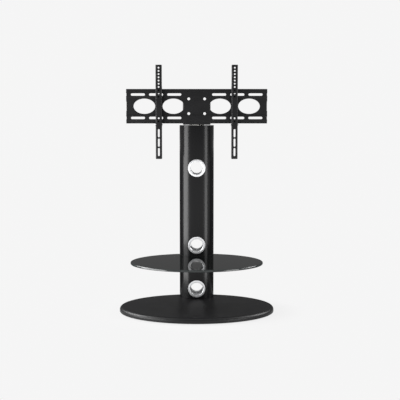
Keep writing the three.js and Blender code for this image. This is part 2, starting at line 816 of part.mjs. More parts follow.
function buildArms() {
  const arm = armSolid();
  const hookBackY = plateBackY + hookSlack + hookReach;
  const screwY = hookBackY - lockScrewDrop;
  const screwZ = plateBottomZ - hookSlack - lockScrewDrop;
  const grip = armWidth + lockScrewHeadHeight;
  const screw = socketScrew(lockScrewRadius, lockScrewHeadRadius, lockScrewHeadHeight, grip);
  for (const [label, side] of [['left', -1], ['right', 1]]) {
    const group = new THREE.Group();
    group.name = `${label}_arm_group`;
    group.position.x = side * armRestX;
    stand.add(group);
    addPiece(`${label}_arm`, arm, materials.steelBlack, [0, 0, 0], group);
    const headX = side * (armWidth / 2 + fitGap);
    const mesh = addPiece(`${label}_lock_screw`, screw, materials.zinc, [headX, screwY, screwZ], group);
    mesh.rotation.y = side * Math.PI / 2;
  }
}

// Glass shelf with a notch open to the back, edged where it meets the column
function buildShelf() {
  const rim = [shelfEdgeRadius, shelfFilletSteps];
  const slab = ovalSlab(shelfWidth, shelfDepth, shelfBottomZ, shelfThickness, rim, rim)
    .translate([0, shelfCentreY, 0]);
  const notchGrow = edgingThickness + 2 * fitGap;
  const openBack = (grow, bottomZ, height) => joined([
    raised(columnOutline(grow), bottomZ, height),
    raised(polygon([
      [-columnWidth / 2 - grow, columnWideY],
      [columnWidth / 2 + grow, columnWideY],
      [columnWidth / 2 + grow, baseDepth],
      [-columnWidth / 2 - grow, baseDepth],
    ]), bottomZ, height),
  ]);
  const notch = openBack(notchGrow, shelfBottomZ - cutOverrun, shelfThickness + 2 * cutOverrun);
  addPiece('glass_shelf', slab.subtract(notch), materials.glassBlack);

  const edging = raised(columnOutline(fitGap + edgingThickness), shelfBottomZ, shelfThickness)
    .subtract(openBack(fitGap, shelfBottomZ - cutOverrun, shelfThickness + 2 * cutOverrun))
    .intersect(raised(polygon([
      [-columnWidth, columnFrontY - columnDepth],
      [columnWidth, columnFrontY - columnDepth],
      [columnWidth, columnFrontY + edgingReach],
      [-columnWidth, columnFrontY + edgingReach],
    ]), shelfBottomZ - cutOverrun, shelfThickness + 2 * cutOverrun));
  addPiece('shelf_edging', edging, materials.rubber);
}

// Bracket under the glass: a notched plate with a skirt that fits the front of the column, screws and pads
function buildShelfBracket() {
  const plateBottom = bracketTopZ - bracketThickness;
  const outline = polygon([
    [-bracketFrontHalf + bracketCornerRadius, bracketFrontY],
    [bracketFrontHalf - bracketCornerRadius, bracketFrontY],
    [bracketFrontHalf, bracketFrontY + bracketCornerRadius],
    [bracketRearHalf, columnFrontY - bracketCornerRadius],
    [bracketRearHalf, bracketRearY - bracketCornerRadius],
    [bracketRearHalf - bracketCornerRadius, bracketRearY],
    [-bracketRearHalf + bracketCornerRadius, bracketRearY],
    [-bracketRearHalf, bracketRearY - bracketCornerRadius],
    [-bracketRearHalf, columnFrontY - bracketCornerRadius],
    [-bracketFrontHalf, bracketFrontY + bracketCornerRadius],
  ]);
  const plate = raised(outline, plateBottom, bracketThickness);
  const skirtBottom = bracketTopZ - bracketSkirtHeight;
  const skirt = raised(columnOutline(fitGap + bracketThickness), skirtBottom, bracketSkirtHeight)
    .intersect(raised(polygon([
      [-columnWidth, columnFrontY - columnDepth],
      [columnWidth, columnFrontY - columnDepth],
      [columnWidth, bracketRearY],
      [-columnWidth, bracketRearY],
    ]), skirtBottom, bracketSkirtHeight));
  const column = raised(columnOutline(fitGap), skirtBottom - cutOverrun, bracketSkirtHeight + 2 * cutOverrun);
  const window = raised(
    circle(bracketWindowRadius, 0, (bracketFrontY + columnFrontY) / 2),
    plateBottom - cutOverrun,
    bracketThickness + 2 * cutOverrun,
    ringSteps,
  );
  const skirtFrontY = columnFrontY - fitGap - bracketThickness;
  const screwHoles = bracketScrewDrops.map((drop) => frontCut(
    circle(bracketScrewRadius + fitGap, 0, bracketTopZ - drop),
    skirtFrontY - cutOverrun,
    bracketThickness + 2 * cutOverrun,
  ));
  const bracket = cutBy(plate.add(skirt), [column, window, ...screwHoles]);
  addPiece('shelf_bracket', bracket, materials.steelBlack);

  const screw = socketScrew(
    bracketScrewRadius,
    bracketScrewHeadRadius,
    bracketScrewHeadHeight,
    bracketScrewGrip,
  );
  bracketScrewDrops.forEach((drop, index) => {
    const place = [0, skirtFrontY - fitGap, bracketTopZ - drop];
    const mesh = addPiece(`shelf_bracket_screw_${index + 1}`, screw, materials.zinc, place);
    mesh.rotation.x = Math.PI / 2;
  });

  const pad = raised(circle(padRadius), 0, padThickness, roundSteps);
  padPlaces.forEach(([side, row], index) => {
    const x = side * (row ? padSpreadX : bracketFrontHalf - padRadius - bracketCornerRadius / 2);
    const y = columnFrontY - (row ? padRearLead : padFrontLead);
    addPiece(`shelf_pad_${index + 1}`, pad, materials.rubber, [x, y, bracketTopZ + fitGap]);
  });
}

buildBase();
buildColumn();
buildGrommets();
buildCap();
buildPivot();
buildNeck();
buildPlate();
buildArms();
buildShelf();
buildShelfBracket();

export default stand;
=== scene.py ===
"""Pedestal television stand with a swivelling mount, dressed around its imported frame.

An oval lacquered base carries one black extruded column with chrome cable grommets, an oval black glass
shelf that is notched round the column, and a head that turns on a nylon bush. The head is a folded neck, a
pressed steel plate with slots and windows, and two folded arms that hook over the plate and slide along it.

Pieces are modelled in millimetres at their places on the stand, and published in metres.
"""

import logging
import math
from collections.abc import Callable, Sequence
from dataclasses import dataclass
from enum import Enum

import bmesh
import bpy
from bmesh.types import BMEdge, BMesh, BMVert
from bpy.types import ID, Material, Mesh, Node, NodeSocket, NodeTree, Object, World
from mathutils import Matrix, Vector


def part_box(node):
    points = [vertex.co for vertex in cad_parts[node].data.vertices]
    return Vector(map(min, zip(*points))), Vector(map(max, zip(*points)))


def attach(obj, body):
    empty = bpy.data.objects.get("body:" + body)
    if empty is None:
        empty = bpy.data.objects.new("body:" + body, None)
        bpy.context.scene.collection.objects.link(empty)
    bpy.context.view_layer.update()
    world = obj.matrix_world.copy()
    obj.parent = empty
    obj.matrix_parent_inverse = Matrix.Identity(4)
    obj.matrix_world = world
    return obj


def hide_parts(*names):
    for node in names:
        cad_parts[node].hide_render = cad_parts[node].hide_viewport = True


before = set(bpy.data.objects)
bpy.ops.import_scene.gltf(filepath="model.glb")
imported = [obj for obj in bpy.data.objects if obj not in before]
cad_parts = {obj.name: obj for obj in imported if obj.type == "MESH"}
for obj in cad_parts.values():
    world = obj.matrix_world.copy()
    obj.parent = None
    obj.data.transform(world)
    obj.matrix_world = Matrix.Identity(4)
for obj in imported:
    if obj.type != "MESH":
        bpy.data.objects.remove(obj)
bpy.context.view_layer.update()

LOG = logging.getLogger("tv_stand")
MM = 0.001
QUARTER = math.pi / 2
WHITE = (1.0, 1.0, 1.0, 1.0)
CLEAR = 2.0  # How far a cutting tool stands past what it cuts, in millimetres.
HAIR = 0.1  # A distance too small to show, such as the rim radius of a cutting tool.

Point = tuple[float, float]
Place = tuple[float, float, float]
Outline = list[Point]
Solid = BMesh | Mesh


class Slot(Enum):
    """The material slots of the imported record."""

    BASE = "base_lacquer"
    COLUMN = "column_black"
    STEEL = "steel_black"
    CHROME = "chrome"
    GLASS = "glass_black"
    RUBBER = "rubber"
    NYLON = "nylon"
    ZINC = "zinc"


class Body(Enum):
    """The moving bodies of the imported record."""

    STAND = "stand"
    HEAD = "head"
    LEFT = "left_hanger"
    RIGHT = "right_hanger"


class Facing(Enum):
    """The way a screw's head faces: the head's direction and the Euler turn that takes +Z there."""

    UP = ((0, 0, 1), (0.0, 0.0, 0.0))
    DOWN = ((0, 0, -1), (math.pi, 0.0, 0.0))
    FRONT = ((0, -1, 0), (QUARTER, 0.0, 0.0))
    LEFT = ((-1, 0, 0), (0.0, -QUARTER, 0.0))
    RIGHT = ((1, 0, 0), (0.0, QUARTER, 0.0))


class View(Enum):
    """How a loop's plane and its raised direction lie: FRONT raises along Y, SIDE raises along X."""

    FRONT = Matrix(((1, 0, 0, 0), (0, 0, 1, 0), (0, 1, 0, 0), (0, 0, 0, 1)))
    SIDE = Matrix(((0, 0, 1, 0), (1, 0, 0, 0), (0, 1, 0, 0), (0, 0, 0, 1)))


class Join(Enum):
    """How two solids are combined."""

    ADD = "UNION"
    CUT = "DIFFERENCE"
    KEEP = "INTERSECT"


# Finishes


def linear(hex_colour: str) -> tuple[float, ...]:
    """Turns an sRGB hex colour into linear values.

    Args:
        hex_colour: Six hex digits after a hash sign.

    Returns:
        Red, green, blue and an alpha of 1.
    """
    parts = [int(hex_colour[start:start + 2], 16) / 255 for start in (1, 3, 5)]
    levels = (part / 12.92 if part <= 0.04045 else ((part + 0.055) / 1.055) ** 2.4 for part in parts)
    return (*levels, 1.0)


def add_node(
    tree: NodeTree, kind: str, inputs: dict[str | int, object] | None = None, **settings: object
) -> Node:
    """Adds a node with its settings, input values and links.

    Args:
        tree: The tree that the node goes into.
        kind: The node's type name.
        inputs: A value, or an output socket to link, for each input by name or number.
        **settings: Properties of the node itself.

    Returns:
        The new node.
    """
    node = tree.nodes.new(kind)
    for key, value in settings.items():
        setattr(node, key, value)
    for key, value in (inputs or {}).items():
        if isinstance(value, NodeSocket):
            tree.links.new(value, node.inputs[key])
        else:
            node.inputs[key].default_value = value
    return node


def emptied(owner: Material | World) -> NodeTree:
    """Empties the node tree of a material or a world.

    Args:
        owner: The material or world.

    Returns:
        Its node tree, with nothing in it.
    """
    owner.use_nodes = True
    owner.node_tree.nodes.clear()
    return owner.node_tree


@dataclass(frozen=True)
class Grain:
    """The fine unevenness of a surface, in millimetres.

    Attributes:
        spacing: Distance from one bump to the next.
        height: Height of a bump.
        cloud: Distance over which the gloss drifts.
        gloss_drift: How far the roughness drifts up and down.
        stretch: How much longer the bumps are along Z than across, as on drawn metal.
    """

    spacing: float
    height: float
    cloud: float
    gloss_drift: float
    stretch: float = 1.0


@dataclass(frozen=True)
class Finish:
    """One finish: what the piece is made of and how its surface was made.

    Attributes:
        name: The material's name.
        slot: The record's slot that it stands for; not used.
        colours: The colour, and a second one that the grain mixes in where the real surface has it.
        roughness: The middle of the drifting roughness.
        grain: The surface's unevenness.
        metallic: 1 for bare or plated metal.
        ior: Index of refraction.
        specular: Strength of the reflection of a dielectric, 0.5 for the full one.
    """

    name: str
    slot: Slot
    colours: tuple[str, ...]
    roughness: float
    grain: Grain
    metallic: float = 0.0
    ior: float = 1.5
    specular: float = 0.5

    def material(self) -> Material:
        """Builds the node material, once.

        Returns:
            The material of this finish.
        """
        known = bpy.data.materials.get(self.name)
        if known:
            return known
        made = bpy.data.materials.new(self.name)
        tree, grain = emptied(made), self.grain
        place = add_node(tree, "ShaderNodeTexCoord").outputs["Object"]
        stretch = {"Vector": place, "Scale": (1.0, 1.0, 1.0 / grain.stretch)}
        along = add_node(tree, "ShaderNodeMapping", stretch).outputs["Vector"]
        close = {"Vector": along, "Scale": 1 / (grain.spacing * MM), "Detail": 2.0, "Roughness": 0.55}
        bumps = add_node(tree, "ShaderNodeTexNoise", close).outputs["Fac"]
        wide = {"Vector": place, "Scale": 1 / (grain.cloud * MM), "Detail": 3.0}
        cloud = add_node(tree, "ShaderNodeTexNoise", wide).outputs["Fac"]
        drift = {
            "Value": cloud,
            "From Min": 0.3,
            "From Max": 0.7,
            "To Min": max(self.roughness - grain.gloss_drift, 0.0),
            "To Max": self.roughness + grain.gloss_drift,
        }
        mixed = {0: bumps, 6: linear(self.colours[0]), 7: linear(self.colours[-1])}
        relief = {"Height": bumps, "Distance": grain.height * MM, "Strength": 1.0}
        shader = add_node(tree, "ShaderNodeBsdfPrincipled", {
            "Base Color": add_node(tree, "ShaderNodeMix", mixed, data_type="RGBA").outputs[2],
            "Roughness": add_node(tree, "ShaderNodeMapRange", drift).outputs["Result"],
            "Metallic": self.metallic,
            "IOR": self.ior,
            "Specular IOR Level": self.specular,
            "Normal": add_node(tree, "ShaderNodeBump", relief).outputs["Normal"],
        })
        add_node(tree, "ShaderNodeOutputMaterial", {"Surface": shader.outputs["BSDF"]})
        return made


# Polyurethane lacquer sprayed on fibreboard: near black and satin, with the faint orange peel of a sprayed
# film.
LACQUER = Finish(
    "satin_lacquered_fibreboard",
    Slot.BASE,
    ("#0d0d0e", "#111112"),
    roughness=0.42,
    grain=Grain(spacing=2.2, height=0.012, cloud=90, gloss_drift=0.03),
    specular=0.27,
)
# Extruded aluminium under a semi-gloss black stoved enamel: smoother than the base, so that lamps show as
# soft bands.
ENAMEL = Finish(
    "stoved_enamel_on_aluminium",
    Slot.COLUMN,
    ("#0b0b0c", "#0e0e0f"),
    roughness=0.22,
    grain=Grain(spacing=3.0, height=0.008, cloud=120, gloss_drift=0.02, stretch=3.0),
    specular=0.24,
)
# Sheet steel with a fine black powder coat: a matt film whose close texture breaks up every reflection.
POWDER = Finish(
    "fine_powder_coat_on_steel",
    Slot.STEEL,
    ("#0d0d0e", "#131314"),
    roughness=0.4,
    grain=Grain(spacing=0.9, height=0.025, cloud=50, gloss_drift=0.03),
    specular=0.24,
)
# Brushed brass under satin chrome plate: pale bright metal whose fine finish spreads each lamp into a soft
# band.
CHROME = Finish(
    "satin_chrome_plate",
    Slot.CHROME,
    ("#f5f6f8",),
    roughness=0.38,
    grain=Grain(spacing=7.0, height=0.006, cloud=30, gloss_drift=0.02),
    metallic=1.0,
)
# Toughened float glass painted black on its underside: a deep black body under a clear glossy face.
GLASS = Finish(
    "black_backed_toughened_glass",
    Slot.GLASS,
    ("#060707",),
    roughness=0.035,
    grain=Grain(spacing=60.0, height=0.01, cloud=150, gloss_drift=0.01),
    ior=1.52,
)
# The glass's polished rim: its smoky grey is a painted glow for light that enters the face and leaves here.
GLASS_RIM_PAINTED_GLOW = Finish(
    "glass_rim_painted_glow",
    Slot.GLASS,
    ("#1d2020", "#232626"),
    roughness=0.12,
    grain=Grain(spacing=12.0, height=0.01, cloud=60, gloss_drift=0.03),
    ior=1.52,
)
# Moulded black rubber: matt, with a spark-eroded mould texture.
RUBBER = Finish(
    "moulded_rubber",
    Slot.RUBBER,
    ("#111111", "#1a1a1a"),
    roughness=0.72,
    grain=Grain(spacing=0.6, height=0.05, cloud=20, gloss_drift=0.06),
    specular=0.3,
)
# Turned natural nylon: milky, slightly waxy, with fine tool marks.
NYLON = Finish(
    "turned_nylon",
    Slot.NYLON,
    ("#c9c8c2", "#d3d2cc"),
    roughness=0.38,
    grain=Grain(spacing=0.5, height=0.01, cloud=18, gloss_drift=0.05),
)
# Zinc plate on steel: a bluish bright grey, clouded where the passivate is thicker.
ZINC = Finish(
    "zinc_plated_steel",
    Slot.ZINC,
    ("#a7abb0", "#b4b5b0"),
    roughness=0.3,
    grain=Grain(spacing=1.4, height=0.01, cloud=8, gloss_drift=0.09),
    metallic=1.0,
)


# Outlines


def ellipse(width: float, depth: float, x: float = 0.0, y: float = 0.0, steps: int = 96) -> Outline:
    """Returns an anticlockwise ellipse."""
    turns = (2 * math.pi * step / steps for step in range(steps))
    return [(x + width / 2 * math.cos(turn), y + depth / 2 * math.sin(turn)) for turn in turns]


def circle(radius: float, x: float = 0.0, y: float = 0.0, steps: int = 96) -> Outline:
    """Returns an anticlockwise circle."""
    return ellipse(2 * radius, 2 * radius, x, y, steps)


def rounded(corners: Sequence[Point], radius: float, steps: int = 6, closed: bool = True) -> Outline:
    """Rounds the corners of a line.

    Args:
        corners: The sharp corners.
        radius: The wanted radius, which is less where a side is too short for it.
        steps: Faces in each corner.
        closed: Whether the line is a loop.

    Returns:
        The line with an arc at each corner.
    """
    straight = QUARTER - 1e-3  # Half the angle of a corner that is as good as straight.
    side_share = 0.499  # The most of a side that the arc at one of its ends may take.
    points: Outline = []
    for index, corner in enumerate(corners):
        if not closed and index in (0, len(corners) - 1):
            points.append(corner)
            continue
        middle = Vector(corner)
        back = Vector(corners[index - 1]) - middle
        ahead = Vector(corners[(index + 1) % len(corners)]) - middle
        half = back.angle(ahead) / 2
        if half > straight:
            points.append(corner)
            continue
        run = min(radius / math.tan(half), back.length * side_share, ahead.length * side_share)
        centre = (back.normalized() + ahead.normalized()).normalized() * (run / math.cos(half))
        sweep = (math.pi - 2 * half) * (-1.0 if back.cross(ahead) > 0 else 1.0)
        for step in range(steps + 1):
            arm = Matrix.Rotation(sweep * step / steps, 2) @ (back.normalized() * run - centre)
            points.append(tuple(middle + centre + arm))
    return points


def box_outline(width: float, height: float, radius: float, y: float = 0.0, steps: int = 6) -> Outline:
    """Returns an anticlockwise rectangle with rounded corners."""
    right, top = width / 2, height / 2
    return rounded([(-right, y - top), (right, y - top), (right, y + top), (-right, y + top)], radius, steps)


def doubled(right: Outline) -> Outline:
    """Returns a loop of the given right half and its image on the other side of X = 0."""
    return [*right, *((-x, y) for x, y in reversed(right))]


def turned_left(outline: Outline) -> Outline:
    """Returns a loop in the order that runs anticlockwise."""
    area = sum(x0 * y1 - x1 * y0 for (x0, y0), (x1, y1) in zip(outline, outline[1:] + outline[:1]))
    return outline if area > 0 else outline[::-1]


def moved_in(outline: Outline, distance: float) -> Outline:
    """Moves a loop sideways to its left, which is inwards for an anticlockwise one.

    Args:
        outline: The loop.
        distance: How far each side moves.

    Returns:
        The moved loop, point for point.
    """
    least = 0.5  # Least cosine of half a turn, so that a very sharp corner isn't thrown far out.
    points: Outline = []
    for index, corner in enumerate(outline):
        middle = Vector(corner)
        first = (middle - Vector(outline[index - 1])).normalized()
        second = (Vector(outline[(index + 1) % len(outline)]) - middle).normalized()
        left = Vector((-first.y, first.x))
        across = (left + Vector((-second.y, second.x))).normalized()
        points.append(tuple(middle + across * distance / max(across.dot(left), least)))
    return points


# Solids


def skinned(solid: BMesh, rings: Sequence[Sequence[BMVert]]) -> None:
    """Joins each ring of vertices to the next with faces.

    Args:
        solid: The solid that the faces go into.
        rings: The rings, each with as many vertices. A ring may be one vertex, given many times.
    """
    for below, above in zip(rings, rings[1:]):
        for index in range(len(below)):
            after = (index + 1) % len(below)
            corners = dict.fromkeys((below[index], below[after], above[after], above[index]))
            if len(corners) > 2:
                solid.faces.new(tuple(corners))


def lofted(rings: Sequence[Sequence[Place]], loop: bool = False) -> BMesh:
    """Makes a closed solid that runs through rings of points.

    Args:
        rings: The rings, each with as many points; the points of a pole are all the same.
        loop: Whether the last ring joins the first, where both ends are otherwise closed.

    Returns:
        The solid.
    """
    solid = bmesh.new()
    built: list[list[BMVert]] = []
    for ring in rings:
        if len(set(ring)) == 1:
            built.append([solid.verts.new(ring[0])] * len(ring))
        else:
            built.append([solid.verts.new(point) for point in ring])
    skinned(solid, [*built, built[0]] if loop else built)
    if not loop:
        for ring in (built[0][::-1], built[-1]):
            if ring[0] is not ring[1]:
                solid.faces.new(ring)
    bmesh.ops.recalc_face_normals(solid, faces=solid.faces)
    return solid


def slab(
    loops: Sequence[Outline],
    low: float,
    high: float,
    edge: float = 0.4,
    top_edge: float | None = None,
    steps: int = 3,
) -> BMesh:
    """Raises flat loops into a closed solid with rounded rims.

    Args:
        loops: The outer loop, then the loops of any holes.
        low: Level of the underside.
        high: Level of the top.
        edge: Radius of the rims.
        top_edge: Radius of the upper rim, where it differs.
        steps: Faces in each rounded rim.

    Returns:
        The solid, with its loops in X and Y.
    """
    solid = bmesh.new()
    top_edge = edge if top_edge is None else top_edge
    margin = 2.2  # Edge radii from a wall to where the flat of its face begins.
    turns = [QUARTER * step / steps for step in range(steps + 1)]
    levels = [
        (edge * margin, low),
        *((edge * (1 - math.sin(turn)), low + edge * (1 - math.cos(turn))) for turn in turns),
        *((top_edge * (1 - math.cos(turn)), high - top_edge * (1 - math.sin(turn))) for turn in turns),
        (top_edge * margin, high),
    ]
    ends: tuple[list[BMEdge], list[BMEdge]] = ([], [])
    for number, loop in enumerate(loops):
        run = turned_left(loop) if number == 0 else turned_left(loop)[::-1]
        rings = [[solid.verts.new((x, y, z)) for x, y in moved_in(run, inset)] for inset, z in levels]
        skinned(solid, rings)
        for ring, edges in zip((rings[0], rings[-1]), ends):
            edges.extend(solid.edges.get((ring[index - 1], ring[index])) for index in range(len(ring)))
    for edges in ends:
        bmesh.ops.triangle_fill(solid, use_beauty=True, edges=edges)
    bmesh.ops.recalc_face_normals(solid, faces=solid.faces)
    return solid


def turned(profile: Sequence[Point], steps: int = 48) -> BMesh:
    """Turns a profile about Z into a closed solid.

    Args:
        profile: Points of radius and height. It starts and ends on the axis, or is a loop off the axis.
        steps: Faces per turn.

    Returns:
        The solid.
    """
    rings = [[(x, y, height) for x, y in circle(radius, steps=steps)] for radius, height in profile]
    return lofted(rings, loop=profile[0][0] > 0)


def peg(radius: float, low: float, high: float, steps: int = 32) -> BMesh:
    """Returns an upright round peg about Z."""
    return turned([(0, low), (radius, low), (radius, high), (0, high)], steps)


def threaded(radius: float, pitch: float, low: float, high: float, steps: int = 24) -> BMesh:
    """Makes a rod along Z with a helical thread that fades in and out at its ends.

    Args:
        radius: Outer radius of the thread.
        pitch: Distance from one turn to the next, twice the thread's depth.
        low: Lower end.
        high: Upper end.
        steps: Faces per turn.

    Returns:
        The rod, closed at both ends.
    """
    rows_per_turn, fewest_rows, least_fade = 5, 4, 0.35
    rows = max(int((high - low) / pitch * rows_per_turn), fewest_rows)
    rings = []
    for row in range(rows + 1):
        z = low + (high - low) * row / rows
        fade = min(1.0, (z - low) / pitch + least_fade, (high - z) / pitch)
        ring = []
        for step in range(steps):
            turn = 2 * math.pi * step / steps
            ridge = abs(2 * ((z / pitch - step / steps) % 1) - 1)
            away = radius - pitch / 2 * (ridge * fade + (1 - fade) / 2)
            ring.append((away * math.cos(turn), away * math.sin(turn), z))
        rings.append(ring)
    return lofted(rings)


def laid(solid: BMesh, view: View = View.FRONT) -> BMesh:
    """Turns a solid raised in plan so that its loops lie in another view.

    Args:
        solid: The solid, changed in place.
        view: The view.

    Returns:
        The same solid.
    """
    solid.transform(view.value)
    if view.value.determinant() < 0:
        bmesh.ops.reverse_faces(solid, faces=solid.faces)
    return solid


def drill(radius: float, start: float, end: float, steps: int = 32) -> BMesh:
    """Returns a tool that cuts a round hole through what lies between two depths, along Y."""
    return laid(slab([circle(radius, steps=steps)], start - CLEAR, end + CLEAR, HAIR))


def punch(outline: Outline, front: float, thickness: float, edge: float) -> BMesh:
    """Makes a punch, flared at both faces of a sheet so that the rims of the hole come out broken.

    Args:
        outline: The hole, in X and Z about the origin.
        front: Y of the sheet's front face.
        thickness: Thickness of the sheet.
        edge: How much of the rim is broken.

    Returns:
        The punch, raised along Y.
    """
    past = 0.5  # How far the punch stands past each face.
    out_share, deep_share = 0.4, 0.25  # Where the flare turns steeper, as shares of the broken edge.
    flare = [(-edge - past, -past), (-edge * out_share, edge * deep_share), (0.0, edge)]
    levels = [(inset, front + depth) for inset, depth in flare]
    levels += [(inset, front + thickness - depth) for inset, depth in reversed(flare)]
    loop = turned_left(outline)
    return laid(lofted([[(x, y, z) for x, y in moved_in(loop, inset)] for inset, z in levels]))


def moved(solid: Solid, x: float = 0.0, y: float = 0.0, z: float = 0.0) -> Solid:
    """Moves a solid and returns it."""
    solid.transform(Matrix.Translation((x, y, z)))
    return solid


def linked(name: str, data: ID) -> Object:
    """Puts a new object into the scene.

    Args:
        name: Its name.
        data: Its mesh, lamp or camera.

    Returns:
        The object.
    """
    thing = bpy.data.objects.new(name, data)
    bpy.context.scene.collection.objects.link(thing)
    return thing


def scratch(solid: Solid, name: str = "scratch") -> Object:
    """Puts a solid into the scene for a while.

    Args:
        solid: The solid. A bmesh is used up.
        name: Name of the object.

    Returns:
        The object.
    """
    mesh = solid
    if isinstance(solid, BMesh):
        mesh = bpy.data.meshes.new(name)
        solid.to_mesh(mesh)
        solid.free()
    return linked(name, mesh)


def settled(thing: Object, *others: Object) -> Mesh:
    """Applies an object's modifiers and clears it away.

    Args:
        thing: The object whose result is wanted.
        *others: Objects that its modifiers use, cleared away too.

    Returns:
        The plain mesh.
    """
    graph = bpy.context.evaluated_depsgraph_get()
    result = bpy.data.meshes.new_from_object(thing.evaluated_get(graph), depsgraph=graph)
    for done in (thing, *others):
        mesh = done.data
        bpy.data.objects.remove(done)
        bpy.data.meshes.remove(mesh)
    return result


def combined(first: Solid, second: Solid, how: Join) -> Mesh:
    """Joins, cuts or intersects two closed solids.

    Args:
        first: The solid that is kept or cut.
        second: The solid that is added or that cuts.
        how: The way they are combined.

    Returns:
        The combined mesh.
    """
    target, tool = scratch(first), scratch(second)
    step = target.modifiers.new("combine", "BOOLEAN")
    step.operation = how.value
    step.object = tool
    step.solver = "MANIFOLD"
    result = settled(target, tool)
    if not result.polygons:
        raise RuntimeError(f"Nothing is left of a solid after {how.value}")
    return result


def cut(solid: Solid, *tools: Solid) -> Solid:
    """Cuts a solid by each tool in turn.

    Args:
        solid: The solid that is cut.
        *tools: The tools.

    Returns:
        What is left of it.
    """
    for tool in tools:
        solid = combined(solid, tool, Join.CUT)
    return solid


def opened(mesh: Mesh) -> BMesh:
    """Opens a mesh for editing.

    Args:
        mesh: The mesh, used up.

    Returns:
        The same faces in triangles.
    """
    solid = bmesh.new()
    solid.from_mesh(mesh)
    bpy.data.meshes.remove(mesh)
    bmesh.ops.triangulate(solid, faces=solid.faces)
    return solid


def sliced(solid: BMesh, axis: int, places: Sequence[float]) -> None:
    """Adds edges to a solid where planes across an axis meet it.

    Args:
        solid: The solid, changed in place.
        axis: 0, 1 or 2 for X, Y or Z.
        places: Where the planes stand.
    """
    across = Vector([float(index == axis) for index in range(3)])
    for place in places:
        parts = [*solid.verts, *solid.edges, *solid.faces]
        bmesh.ops.bisect_plane(solid, geom=parts, dist=1e-4, plane_co=across * place, plane_no=across)


@dataclass(frozen=True)
class Fold:
    """A press-brake fold of a flat sheet whose outer face is at the front.

    Attributes:
        start: Distance from the middle to where the bend begins.
        radius: Outer radius of the bend.
        front: Y of the sheet's front face.
        steps: Faces in the bend.
    """

    start: float
    radius: float
    front: float
    steps: int = 6

    def depth_to_run(self, depth: float) -> float:
        """Returns the distance along the flat sheet that ends up that far behind its front face."""
        return self.start + self.radius * QUARTER + depth - self.radius

    def bend(self, run: float, through: float) -> Point:
        """Finds where a point of the flat sheet goes.

        Args:
            run: Its distance from the middle, past the start of the bend.
            through: Its depth in the sheet.

        Returns:
            The new distance from the middle, and the depth behind the front face.
        """
        turn = (run - self.start) / self.radius
        if turn < QUARTER:
            inner = self.radius - through
            return self.start + inner * math.sin(turn), self.radius - inner * math.cos(turn)
        return self.start + self.radius - through, self.radius + run - self.start - self.radius * QUARTER

    def apply(
        self, solid: BMesh, axis: int, middle: float, sides: Sequence[int], limit: float = 1e9
    ) -> None:
        """Folds the flaps of a flat sheet backwards.

        Args:
            solid: The sheet, changed in place.
            axis: 0 where the flaps lie along X, 2 where they lie along Z.
            middle: Coordinate that runs are measured from.
            sides: +1 and/or -1, the flaps that are folded.
            limit: Points further than this from X = 0 stay.
        """
        turns = [self.start + self.radius * QUARTER * step / self.steps for step in range(self.steps + 1)]
        sliced(solid, axis, [middle + side * run for side in sides for run in turns])
        for vertex in solid.verts:
            run = vertex.co[axis] - middle
            side = 1 if run > 0 else -1
            if side not in sides or abs(run) <= self.start or abs(vertex.co.x) > limit:
                continue
            away, depth = self.bend(abs(run), vertex.co.y - self.front)
            vertex.co[axis] = middle + side * away
            vertex.co.y = self.front + depth


# Repeats by Geometry Nodes


